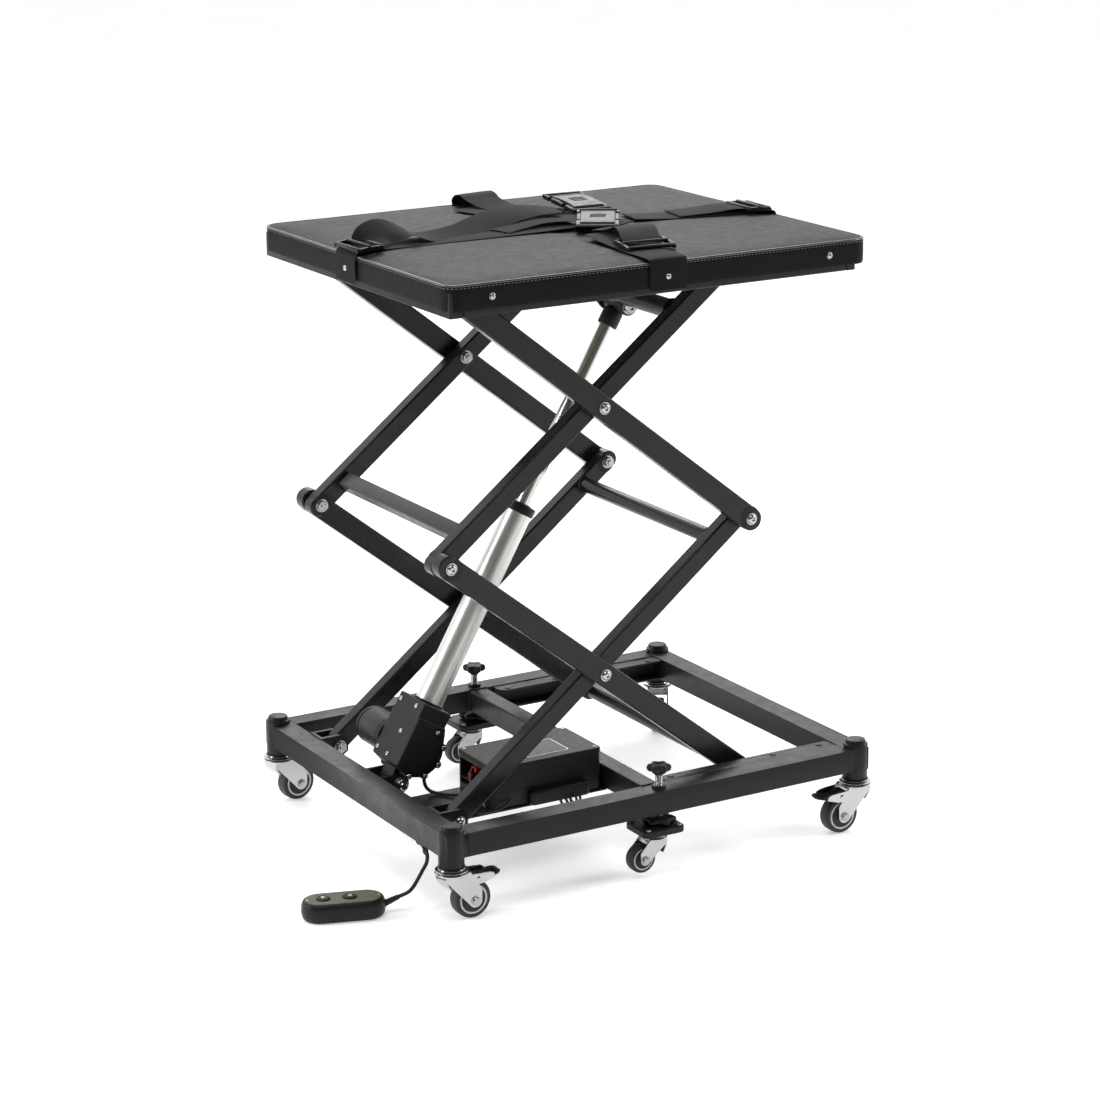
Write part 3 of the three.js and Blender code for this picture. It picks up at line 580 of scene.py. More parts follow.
# ------------------------------------------------------------------ scissor arms
def arm(name, node, p, q, h, e0, e1, y0, y1, body, cap0=False, cap1=False):
    rear = node.endswith("rear")
    a, b = sorted((my(y0, rear), my(y1, rear)))
    o = prism(name, bar_pts(p, q, h, e0, e1), "xz", a, b, M["arm"], body, bevel=2.6, angle=40, segments=4)
    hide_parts(node)
    L = math.hypot(q[0] - p[0], q[1] - p[1])
    u = ((q[0] - p[0]) / L, (q[1] - p[1]) / L)
    for flag, c, sgn, e in ((cap0, p, -1, e0), (cap1, q, 1, e1)):
        if not flag:
            continue
        start = 2.0
        s0 = (c[0] + u[0] * sgn * start, c[1] + u[1] * sgn * start)
        if sgn > 0:
            pts = bar_pts(s0, c, h + 0.5, 0, e + 1.0, square0=True)
        else:
            pts = bar_pts(c, s0, h + 0.5, e + 1.0, 0, square1=True)
        prism(name + "_cap%d" % (sgn > 0), pts, "xz", a - 0.4, b + 0.4, M["black"], body, bevel=2.4, angle=40, segments=4)
    return o


for s in ("front", "rear"):
    rear = s == "rear"
    out = Vector((0, -1, 0)) if not rear else Vector((0, 1, 0))
    arm("low_inner_" + s, "lower_inner_arm_" + s, (PX, PZ), MR, 12.5, 13, 16, 79.5, 99.5, "lower_inner_frame", False, True)
    arm("low_outer_" + s, "lower_outer_arm_" + s, ML, LR, 14.5, 17, 14.5, 57.5, 77.5, "lower_outer_frame", True, False)
    arm("high_outer_" + s, "upper_outer_arm_" + s, TL, MR, 14.5, 14.5, 17, 57.5, 77.5, "upper_outer_frame", False, True)
    arm("high_inner_" + s, "upper_inner_arm_" + s, ML, TR, 12.5, 16, 12.5, 79.5, 99.5, "upper_inner_frame", True, False)
    for tag, c, body, y_head, y_nut in (
        ("c1", C1, "lower_outer_frame", 57.5, 99.5), ("ml", ML, "lower_outer_frame", 57.0, 99.9),
        ("c2", C2, "upper_outer_frame", 57.5, 99.5), ("mr", MR, "upper_outer_frame", 57.0, 99.9),
        ("base", (PX, PZ), "lower_inner_frame", 73.7, 105.3), ("top", TL, "upper_outer_frame", 51.5, 83.5)):
        bm = bmesh.new()
        washer(bm, D(c[0], my(y_head, rear), c[1]), out, 7.6, 1.0, 4.2)
        button_bolt(bm, D(c[0], my(y_head - 1.0, rear), c[1]), out, 6.3, 3.9)
        from_bm("bolt_head_%s_%s" % (tag, s), bm, M["chrome"], body, angle=30)
        bm = bmesh.new()
        washer(bm, D(c[0], my(y_nut, rear), c[1]), -out, 8.6, 1.0, 4.2)
        hexnut(bm, D(c[0], my(y_nut + 1.0, rear), c[1]), -out, 7.0, 6.0)
        lathe_into(bm, [(3.9, -4), (3.9, 8.0), (3.2, 8.8), (0.3, 8.8)], D(c[0], my(y_nut, rear), c[1]), -out, 20)
        from_bm("bolt_nut_%s_%s" % (tag, s), bm, M["zinc"], body, angle=30)
    # pins and spacers between the arms and at the rollers
    for tag, c, body in (("c1", C1, "lower_outer_frame"), ("ml", ML, "lower_outer_frame"), ("c2", C2, "upper_outer_frame"), ("mr", MR, "upper_outer_frame")):
        lathe("spacer_%s_%s" % (tag, s), [(9, 0), (9, 1.6), (4.2, 1.6), (4.2, 0)], D(c[0], my(77.7, rear), c[1]), -out, M["zinc"], body, closed=True)
    lathe("roller_pin_low_" + s, [(7, 0), (7, 6.2), (4, 6.4), (4, 20.4), (3.2, 21), (0.3, 21)], D(LR[0], my(57.4, rear), LR[1]), out, M["zinc"], "lower_outer_frame")
    lathe("roller_pin_high_" + s, [(7, 0), (7, 2.3), (4, 2.4), (4, 17.4), (3.2, 18), (0.3, 18)], D(TR[0], my(79.4, rear), TR[1]), out, M["zinc"], "upper_inner_frame")
    # small screw in the upper outer arm
    q = (C2[0] + 223.7 * CT, C2[1] - 223.7 * ST)
    bm = bmesh.new()
    cross_screw(bm, D(C2[0] - 223.7 * CT, my(57.5, rear), C2[1] + 223.7 * ST), out, 4.2, 2.4)
    from_bm("arm_screw_" + s, bm, M["zinc"], "upper_outer_frame", angle=30)
    # base pivot pin through the arm and its bracket
    lathe("pivot_pin_" + s, [(3.9, 0), (3.9, 33)], D(PX, my(72.5, rear), PZ), -out, M["zinc"], "lower_inner_frame")
    lathe("top_pin_" + s, [(3.9, 0), (3.9, 34)], D(TL[0], my(51, rear), TL[1]), -out, M["zinc"], "upper_outer_frame")


def round_bar(name, c, r, y0, y1, material, body, node=None, seg=44):
    o = lathe(name, [(0.3, 0), (r, 0), (r, y1 - y0), (0.3, y1 - y0)], D(c[0], y0, c[1]), Vector((0, 1, 0)), material, body, seg=seg)
    if node:
        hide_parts(node)
    for k, y in enumerate((y0, y1)):
        pts = []
        for i in range(24):
            a = 2 * math.pi * i / 24
            w = 0.35 * math.sin(i * 3.1)
            pts.append(D(c[0] + (r + 0.7 + w) * math.cos(a), y + (1.1 if k == 0 else -1.1), c[1] + (r + 0.7 + w) * math.sin(a)))
        tube("%s_weld_%d" % (name, k), pts, 1.5, material, body, cyclic=True, res=3)
    return o


bar1 = (PX + 484.6 * CT, PZ + 484.6 * ST)
round_bar("low_inner_bar", bar1, 10, 99.8, 404.2, M["arm"], "lower_inner_frame", "lower_inner_crossbar")
round_bar("low_axle", LR, 10, 77.8, 426.2, M["arm"], "lower_outer_frame", "lower_outer_axle")
cb = (C2[0] + 159.3 * CT - 2 * ST, C2[1] + 159.3 * ST + 2 * CT)
round_bar("actuator_bar", cb, 12.5, 99.8, 404.2, M["arm"], "upper_inner_frame", None)
# the flat bar's coat is much lighter than the arms' coat: painted highlight for its lit top face
clean_copy("upper_inner_crossbar", "flat_bar", powder("flat_bar_coat_painted_lit", (0.055, 0.055, 0.054), 0.34), "upper_inner_frame", 1.6)
for k, y in enumerate((99.9, 404.1)):
    a = (ML[0] + 36 * CT + 11 * ST, ML[1] + 36 * ST - 11 * CT)
    b = (ML[0] + 56 * CT + 11 * ST, ML[1] + 56 * ST - 11 * CT)
    bead("flat_bar_weld_%d" % k, D(a[0], y + (0.8 if k == 0 else -0.8), a[1]), D(b[0], y + (0.8 if k == 0 else -0.8), b[1]), 1.3, M["arm"], "upper_inner_frame", 9)
# lugs that hold the actuator's upper eye
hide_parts("actuator_crossbar")
for k, (y0, y1) in enumerate(((224, 229), (275, 280))):
    prism("eye_lug_%d" % k, bar_pts(cb, ACT, 13, 13, 13), "xz", y0, y1, M["arm"], "upper_inner_frame", 1.0)
bm = bmesh.new()
lathe_into(bm, [(5.2, 0), (5.2, 62)], D(ACT[0], 221, ACT[1]), Vector((0, 1, 0)), 24)
washer(bm, D(ACT[0], 224, ACT[1]), Vector((0, -1, 0)), 10.5, 1.4, 5.3)
hexnut(bm, D(ACT[0], 222.6, ACT[1]), Vector((0, -1, 0)), 9.0, 5.6)
washer(bm, D(ACT[0], 280, ACT[1]), Vector((0, 1, 0)), 10.5, 1.4, 5.3)
button_bolt(bm, D(ACT[0], 281.4, ACT[1]), Vector((0, 1, 0)), 8.6, 5.0)
from_bm("eye_bolt", bm, M["zinc"], "upper_inner_frame", angle=30)

# ------------------------------------------------------------------ actuator
CP, SP = math.cos(PHI), math.sin(PHI)


def A(s, n):
    return (PX + s * CP + n * SP, PZ + s * SP - n * CP)


AX = Vector((CP, 0, SP))
A0 = D(PX, 252, PZ)
o = lathe("outer_tube", [(15, 96), (17.9, 96), (17.9, 376), (15, 376)], A0, AX, M["alu"], "actuator_body", seg=64, closed=True)
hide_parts("actuator_tube")
lathe("tube_collar", [(10.7, 375), (17.9, 375), (19.4, 376.2), (19.6, 384.6), (18.6, 386.6), (15, 387), (12.2, 386.6), (10.7, 385)], A0, AX, M["black"], "actuator_body", seg=64, closed=True)
lathe("tube_foot_ring", [(18, 105.2), (20.4, 105.2), (20.6, 108.4), (19.4, 110), (18, 110)], A0, AX, M["gear"], "actuator_body", seg=64, closed=True)
lathe("tube_seal", [(10.4, 386.2), (12.4, 386.2), (11.8, 388.2), (10.4, 388.4)], A0, AX, M["cable"], "actuator_body", seg=48, closed=True)
o = lathe("piston_rod", [(0.3, 346), (14.2, 346), (14.2, 356), (10, 357), (10, 641), (0.3, 641)], A0, AX, M["rod"], "actuator_rod", seg=56)
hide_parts("actuator_rod")
# rod end: a dark fork block with a cross eye
bm = bmesh.new()
lathe_into(bm, [(0.3, 638.5), (12.6, 638.5), (13.2, 640), (13.2, 658), (12.2, 661), (0.3, 661)], A0, AX, 40)
from_bm("rod_end_block", bm, M["gear"], "actuator_rod", angle=30)
lathe("rod_end_eye", [(5.4, 0), (11, 0), (11, 32), (5.4, 32)], D(ACT[0], 236, ACT[1]), Vector((0, 1, 0)), M["gear"], "actuator_rod", closed=True)
for k, y in enumerate((231.6, 268.6)):
    lathe("rod_end_bush_%d" % k, [(5.4, 0), (8.6, 0), (8.6, 3.8), (5.4, 3.8)], D(ACT[0], y, ACT[1]), Vector((0, 1, 0)), M["zinc"], "actuator_rod", closed=True)

# gearbox: upper block with the rounded gear cover below it
GY0, GY1 = 217.5, 286.5


def gear_outline(grow=0.0):
    pts = [A(107 + grow, -22 - grow), A(26 - grow, -24 - grow), A(20 - grow, -17), A(13, -10), A(12, 4), A(14, 14)]
    c = (45, 3)
    for i in range(19):
        a = math.radians(-118 + i * 10.5)
        rr = 33.5 + grow + (1.2 if i in (3, 9, 15) else 0)
        # angle measured from +n towards +s
        pts.append(A(c[0] + rr * math.sin(a), c[1] + rr * math.cos(a)))
    pts += [A(84, 20 + grow), A(107 + grow, 19 + grow)]
    return pts


def hull2(pts):
    pts = sorted(set(pts))

    def half(seq):
        out_ = []
        for p in seq:
            while len(out_) > 1 and (out_[-1][0] - out_[-2][0]) * (p[1] - out_[-2][1]) - (out_[-1][1] - out_[-2][1]) * (p[0] - out_[-2][0]) <= 0:
                out_.pop()
            out_.append(p)
        return out_

    lo_, up_ = half(pts), half(reversed(pts))
    return lo_[:-1] + up_[:-1]


block = [A(107, -24.3), A(20, -24.3), A(20, 12), A(70, 19), A(107, 19)]
o = prism("gear_block", hull2(block), "xz", GY0 + 2, GY1 - 2, M["gear"], "actuator_body", 2.0)
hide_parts("actuator_gearbox")
cover = []
for i in range(28):
    a = 2 * math.pi * i / 28
    q = (48 + 33.5 * math.cos(a), -1 + 33.5 * math.sin(a))
    cover.append(A(q[0], max(q[1], -24)))
cover += [A(88, -24), A(88, 19), A(22, -24)]
prism("gear_cover_front", hull2(cover), "xz", GY0, GY0 + 22, M["gear"], "actuator_body", 1.8)
prism("gear_cover_mid", hull2([(p[0], p[1]) for p in cover]), "xz", GY0 + 22.8, GY1 - 18, M["gear"], "actuator_body", 1.2)
prism("gear_cover_rear", hull2(cover), "xz", GY1 - 17.2, GY1, M["gear"], "actuator_body", 1.8)
prism("gear_tail", bar_pts(A(0, 0), A(34, 0), 11.5, 11.5, 0, square1=True), "xz", 237.5, 266.5, M["gear"], "actuator_body", 1.4)
# screw bosses round the cover's rim
bm = bmesh.new()
bm2 = bmesh.new()
for k, deg in enumerate((-70, -30, 10, 50, 90)):
    a = math.radians(deg)
    c = A(48 + 33 * math.sin(-a), -1 + 33 * math.cos(a))
    lathe_into(bm, [(0.3, 0), (4.8, 0), (5.0, 1), (5.0, 68), (4.8, 69), (0.3, 69)], D(c[0], 217.5, c[1]), Vector((0, 1, 0)), 24)
    cross_screw(bm2, D(c[0], 217.6, c[1]), Vector((0, -1, 0)), 3.3, 2.0)
from_bm("cover_bosses", bm, M["gear"], "actuator_body", angle=30)
nrm = Vector((-SP, 0, CP))
for s_, yy in ((99, 236), (62, 244), (28, 250), (98, 276), (30, 278)):
    c = A(s_, -24.1)
    cross_screw(bm2, D(c[0], yy, c[1]), nrm, 3.3, 2.0)
from_bm("gearbox_screws", bm2, M["chrome"], "actuator_body", angle=30)
# motor with end cap
mc = A(48, -2)
o = lathe("motor_can", [(0.3, 286.6), (23.6, 286.6), (24.6, 288), (24.6, 341), (23.4, 343), (0.3, 343)], D(mc[0], 0, mc[1]), Vector((0, 1, 0)), M["box"], "actuator_body", seg=56)
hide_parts("actuator_motor")
lathe("motor_end", [(0.3, 342.8), (24.6, 342.8), (24.9, 345), (24.2, 347.6), (22, 349.4), (9.4, 350), (9, 352.6), (7.6, 353), (0.3, 353)], D(mc[0], 0, mc[1]), Vector((0, 1, 0)), M["black"], "actuator_body", seg=48)
lathe("motor_band", [(24.5, 292), (24.9, 292.4), (24.9, 295.6), (24.5, 296)], D(mc[0], 0, mc[1]), Vector((0, 1, 0)), M["black"], "actuator_body", seg=48, closed=True)
# lower pivot bolt
bm = bmesh.new()
for y, d in ((229.8, -1), (274.2, 1)):
    dv = Vector((0, d, 0))
    washer(bm, D(PX, y, PZ), dv, 10.8, 1.5, 5.4)
    hexnut(bm, D(PX, y + d * 1.5, PZ), dv, 8.8, 6.2)
    lathe_into(bm, [(5, 0), (5, 10), (4.2, 11), (0.3, 11)], D(PX, y, PZ), dv, 24)
from_bm("lower_pivot_bolt", bm, M["chrome"], "base", angle=30)

# ------------------------------------------------------------------ corner casters
POSTS = {"fl": (12.5, 12.5), "fr": (607.5, 12.5), "bl": (12.5, 491.5), "br": (607.5, 491.5)}
TURN = {"fl": 0, "bl": 8, "fr": 180, "br": 240}


def xform(x, y, z, deg):
    """Local millimetre-frame coordinates about a swivel axis, as a transform on D() points."""
    return Matrix.Translation(D(x, y, z)) @ Matrix.Rotation(math.radians(deg), 4, "Z") @ Matrix.Translation(-D(0, 0, 0))


def apply(o, xf):
    o.data.transform(xf)
    return o


def leg_outline(trail, axle, top, half, r):
    circ = [(trail + r * math.cos(a), axle + r * math.sin(a)) for a in [2 * math.pi * i / 30 for i in range(30)]]
    upper = [(-half * 0.86, top), (half * 1.1, top), (-half * 0.9, top - 7), (trail + r * 1.05, axle + r * 1.6)]
    return hull2(circ + upper)


def caster(tag, fork_node, wheel_node, fork_body, wheel_body, xf, R, W, trail, axle, H, halfw, plate, collar=True):
    up = Vector((0, 0, 1))
    # pressed steel fork: two side plates, a crown and a front web
    for k, (a, b) in enumerate(((-halfw - 2.0, -halfw), (halfw, halfw + 2.0))):
        o = prism("fork_side_%s_%d" % (tag, k), leg_outline(trail, axle, H, plate * 0.8, R * 0.36), "xz", a, b, M["chrome"], None, 0.6)
        apply(o, xf)
        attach(o, fork_body)
        if tag in ("fl", "fr"):
            o = prism("brake_arm_%s_%d" % (tag, k), [(6, 60.4), (47, 57.6), (51.4, 55), (52, 50.4), (36, 45.4), (18, 44)], "xz", a - 0.05, b + 0.05, M["chrome"], None, 0.6)
            apply(o, xf)
            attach(o, fork_body)
            bm = bmesh.new()
            dv = Vector((0, -1 if k == 0 else 1, 0))
            lathe_into(bm, [(2.6, 0), (2.6, 0.7), (1.9, 1.3), (0.3, 1.5)], D(30, a if k == 0 else b, 52.5), dv, 20)
            o = from_bm("brake_rivet_%s_%d" % (tag, k), bm, M["chrome"], None)
            apply(o, xf)
            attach(o, fork_body)
    o = prism("fork_crown_" + tag, rrect(-plate * 0.72, plate * 0.76, -halfw - 2.0, halfw + 2.0, 4), "xy", H - 2.4, H, M["chrome"], None, 0.8)
    apply(o, xf)
    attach(o, fork_body)
    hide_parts(fork_node)
    o = prism("fork_web_" + tag, [(-plate * 0.72, H - 0.4), (-plate * 0.70, H - 12), (-plate * 0.42, H - 20), (-plate * 0.32, H - 20), (-plate * 0.55, H - 12), (-plate * 0.6, H - 2)],
              "xz", -halfw - 1.0, halfw + 1.0, M["chrome"], None, 0.5)
    apply(o, xf)
    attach(o, fork_body)
    # swivel races
    o = lathe("race_" + tag, [(0.3, H - 3.0), (plate - 2.2, H - 3.0), (plate - 0.5, H - 2.4), (plate, H - 1.2), (plate - 0.4, H - 0.1), (plate - 2.0, H + 0.4),
                              (plate - 3.8, H + 0.7), (plate - 3.8, H + 1.2), (plate - 1.4, H + 1.5), (plate - 0.6, H + 2.2), (plate - 0.8, H + 3.1), (plate - 2.4, H + 3.6),
                              (plate * 0.78, H + 4.0), (plate * 0.76, H + 5.0), (0.3, H + 5.0)],
              D(0, 0, 0), up, M["chrome"], None, seg=56, angle=50)
    apply(o, xf)
    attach(o, fork_body)
    # axle bolt and nut
    bm = bmesh.new()
    for d in (-1, 1):
        dv = Vector((0, d, 0))
        lathe_into(bm, [(6.2, 0), (6.2, 0.8), (5.0, 1.0), (4.9, 2.6), (4.2, 3.5), (2.6, 3.9), (0.3, 4.0)], D(trail, d * (halfw + 2.0), axle), dv, 28)
    lathe_into(bm, [(3.9, 0), (3.9, 2 * halfw)], D(trail, -halfw, axle), Vector((0, 1, 0)), 20)
    o = from_bm("axle_" + tag, bm, M["zinc"], None, angle=30)
    apply(o, xf)
    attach(o, fork_body)
    # wheel: moulded tread, pale ring, dark hub
    w = W / 2
    ax = Vector((0, 1, 0))
    c = D(trail, 0, axle)
    prof = [(R * 0.76, -w + 0.5), (R * 0.80, -w), (R * 0.93, -w + 0.2), (R * 0.975, -w + 1.4), (R * 0.995, -w + 3.0), (R, -w * 0.3), (R, w * 0.3), (R * 0.995, w - 3.0),
            (R * 0.975, w - 1.4), (R * 0.93, w - 0.2), (R * 0.80, w), (R * 0.76, w - 0.5)]
    o = lathe("tread_" + tag, prof, c, ax, M["tyre"], None, seg=72, angle=60)
    apply(o, xf)
    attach(o, wheel_body)
    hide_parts(wheel_node)
    for k, d in enumerate((-1, 1)):
        dv = Vector((0, d, 0))
        o = lathe("ring_%s_%d" % (tag, k), [(R * 0.66, w - 1.6), (R * 0.665, w - 0.2), (R * 0.69, w + 0.35), (R * 0.735, w + 0.35), (R * 0.76, w - 0.1), (R * 0.765, w - 1.4)], c, dv, M["ring"], None, seg=64, closed=True, angle=60)
        apply(o, xf)
        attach(o, wheel_body)
        o = lathe("hub_%s_%d" % (tag, k), [(3.9, 0), (R * 0.76, 0), (R * 0.75, w - 1.2), (R * 0.66, w - 1.5), (R * 0.61, w - 3.4), (R * 0.42, w - 3.6), (R * 0.36, w - 0.6), (3.9, w - 0.4)],
                  c, dv, M["hub"], None, seg=48, closed=True, angle=40)
        apply(o, xf)
        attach(o, wheel_body)


for tag, (x, y) in POSTS.items():
    xf = xform(x, y, -112, TURN[tag])
    caster(tag, "caster_fork_" + tag, "caster_wheel_" + tag, "caster_fork_" + tag, "caster_wheel_" + tag, xf, 24.4, 18, 25, 24.5, 63, 12.6, 21)
    lathe("post_ring_" + tag, [(13.5, -43.6), (16.6, -43.6), (17.0, -42.8), (16.4, -41.4), (13.5, -41.4)], D(x, y, 0), Vector((0, 0, 1)), M["shine"], "base", closed=True)
    if tag in ("fl", "fr"):
        pb = "brake_pedal_" + tag
        # spoon-shaped lever: section swept outwards, wider and turned up at its end
        bm = bmesh.new()
        secs = [(17, 57.6, 10.5, 3.2), (24, 57.2, 11.0, 3.4), (32, 55.0, 10.6, 3.0), (40, 54.2, 11.6, 2.4), (48, 54.6, 13.4, 2.2), (55, 55.6, 13.6, 2.0), (61, 56.6, 11.0, 1.7), (64, 57.0, 6.0, 1.2)]
        rows = []
        for sx, sz, hw, th in secs:
            row = []
            for i in range(20):
                q = 2 * math.pi * i / 20
                cy = math.copysign(abs(math.cos(q)) ** 0.5, math.cos(q)) * hw
                cz = math.copysign(abs(math.sin(q)) ** 0.6, math.sin(q)) * th + 1.5 * (cy / hw) ** 2
                row.append(bm.verts.new(D(sx, cy, sz - 4 + cz)))
            rows.append(row)
        for a, b in zip(rows, rows[1:]):
            for i in range(20):
                bm.faces.new((a[i], a[(i + 1) % 20], b[(i + 1) % 20], b[i]))
        bm.faces.new(rows[0])
        bm.faces.new(list(reversed(rows[-1])))
        for k in range(4):
            gx = 47 + 4 * k
            for f in (0,):
                pts = [D(gx - 0.7, -7.5, 54.4 + k * 0.4), D(gx + 0.7, -7.5, 54.4 + k * 0.4), D(gx + 0.7, 7.5, 54.4 + k * 0.4), D(gx - 0.7, 7.5, 54.4 + k * 0.4)]
        o = from_bm("pedal_" + tag, bm, M["black"], None, sub=1)
        apply(o, xf)
        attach(o, pb)
        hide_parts(pb)
        for k in range(4):
            gx = 46 + 3.6 * k
            o = rbox("pedal_rib_%s_%d" % (tag, k), gx - 0.6, gx + 0.6, -8, 8, 52.0 + k * 0.5, 53.8 + k * 0.55, M["black"], None, 0.3, segments=2)
            apply(o, xf)
            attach(o, pb)

# ------------------------------------------------------------------ middle casters on jack screws
for s, yc in (("front", 15.0), ("rear", 489.0)):
    kb, fb = "leg_knob_" + s, "leg_foot_" + s
    up = Vector((0, 0, 1))

    def lobes(k, q):
        return 0.87 + 0.13 * math.cos(6 * q)

    bm = bmesh.new()
    lathe_into(bm, [(0.3, 21.6), (9, 21.6), (13.2, 22.2), (15.0, 23.8), (15.6, 26.4), (15.2, 29), (13.4, 30.8), (9, 31.4), (6.4, 31.0), (4.8, 30.2), (0.3, 30.0)], D(309, yc, 0), up, 72, False,
               lambda k, q: lobes(k, q) if 1 <= k <= 7 else 1.0)
    o = from_bm("knob_head_" + s, bm, M["black"], kb, angle=60)
    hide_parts(kb)
    lathe("knob_neck_" + s, [(0.3, 17.4), (5.6, 17.4), (6.3, 18.2), (6.6, 21.8), (0.3, 21.8)], D(309, yc, 0), up, M["black"], kb)
    # threaded stem
    prof = [(0.3, -44)]
    z = -44.0
    while z < 17.0:
        prof += [(4.35, z), (4.85, z + 0.45), (4.35, z + 0.9)]
        z += 1.35
    prof.append((0.3, 17.2))
    lathe("knob_stem_" + s, prof, D(309, yc, 0), up, M["zinc"], kb, seg=28, angle=80)
    lathe("knob_nut_" + s, [(5.4, 2.3), (8.9, 2.3), (8.9, 2.8), (8.4, 3.6), (5.4, 3.8)], D(309, yc, 0), up, M["frame"], "base", closed=True)
    bm = bmesh.new()
    lathe_into(bm, [(5.0, -46), (14, -46), (19, -45.4), (21.4, -43.6), (22, -41.2), (21, -38.8), (17.5, -37.2), (9, -36.6), (5.0, -36.7)], D(309, yc, 0), up, 72, False,
               lambda k, q: lobes(k, q) if 1 <= k <= 7 else 1.0)
    o = from_bm("lock_knob_" + s, bm, M["black"], fb, angle=60)
    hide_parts(fb)
    prism("foot_plate_" + s, rrect(309 - 35, 309 + 24, yc - 26, yc + 26, 8), "xy", -55, -46.2, M["black"], fb, 1.6)
    lathe("foot_boss_" + s, [(0.3, -57), (14.6, -57), (15, -56), (15, -54.6), (0.3, -54.6)], D(302.5, yc, 0), up, M["black"], fb)
    bm = bmesh.new()
    for dx, dy in ((-28, -20), (17, -20), (-28, 20), (17, 20)):
        lathe_into(bm, [(3.4, 0), (3.4, 1), (2.8, 1.8), (0.3, 2)], D(309 + dx, yc + dy, -46.3), up, 20)
    from_bm("foot_rivets_" + s, bm, M["zinc"], fb)
    xf = xform(302.5, yc, -112, 180)
    caster("leg_" + s, "leg_fork_" + s, "leg_wheel_" + s, "leg_fork_" + s, "leg_wheel_" + s, xf, 18.4, 15, 20.6, 24.0, 49.6, 10.6, 16)

# ------------------------------------------------------------------ pad
HX, HY = (EDGE1 - EDGE0) / 2, (EDGEY1 - EDGEY0) / 2
CX, CY = (EDGE1 + EDGE0) / 2, (EDGEY1 + EDGEY0) / 2
RC = 20.0


def ring_point(x, y):
    """Grid point of the flat rectangle moved onto a rectangle with round corners."""
    d = min(HX - abs(x), HY - abs(y))
    rho = RC + 0.25 * max(d, 0)
    rho = min(rho, 55)
    hx, hy = HX - d, HY - d
    rx, ry = hx - abs(x), hy - abs(y)
    if rx < rho and ry < rho:
        t = (rho - rx) / (2 * rho) if ry <= rx else 1 - (rho - ry) / (2 * rho)
        t = (rho - rx + (ry if ry > 0 else 0)) / (2 * rho)
        # walk along the corner's L from the y side to the x side
        if rx <= ry:
            w = 0.5 + 0.5 * (ry / rho)
        else:
            w = 0.5 - 0.5 * (rx / rho)
        a = math.pi / 2 * (1 - w)
        cx, cy = hx - rho, hy - rho
        px, py = cx + rho * math.cos(a), cy + rho * math.sin(a)
        return math.copysign(px, x), math.copysign(py, y), d
    return x, y, d


def hash2(i, j):
    v = math.sin(i * 127.1 + j * 311.7) * 43758.5453
    return v - math.floor(v)


def vnoise(x, y):
    i, j = math.floor(x), math.floor(y)
    fx, fy = x - i, y - j
    fx, fy = fx * fx * (3 - 2 * fx), fy * fy * (3 - 2 * fy)
    a = hash2(i, j) * (1 - fx) + hash2(i + 1, j) * fx
    b = hash2(i, j + 1) * (1 - fx) + hash2(i + 1, j + 1) * fx
    return a * (1 - fy) + b * fy - 0.5


def crown(x, y, d):
    h = 3.6 * (1 - math.exp(-max(d, 0) / 16.0))
    h += 0.8 * vnoise(x / 70 + 5, y / 60) * min(1, d / 20)
    # pull lines from the sewn edge
    h += 0.45 * math.sin(0.085 * (x + 0.35 * y)) * math.exp(-((d - 14) / 14) ** 2) * (0.5 + vnoise(x / 40, y / 40))
    # pressed down where the straps cross it
    h -= 1.1 * math.exp(-((x + CX - 313.5) / 24) ** 6) * (1 if y < 0 else 0.4) * min(1, d / 15)
    return h


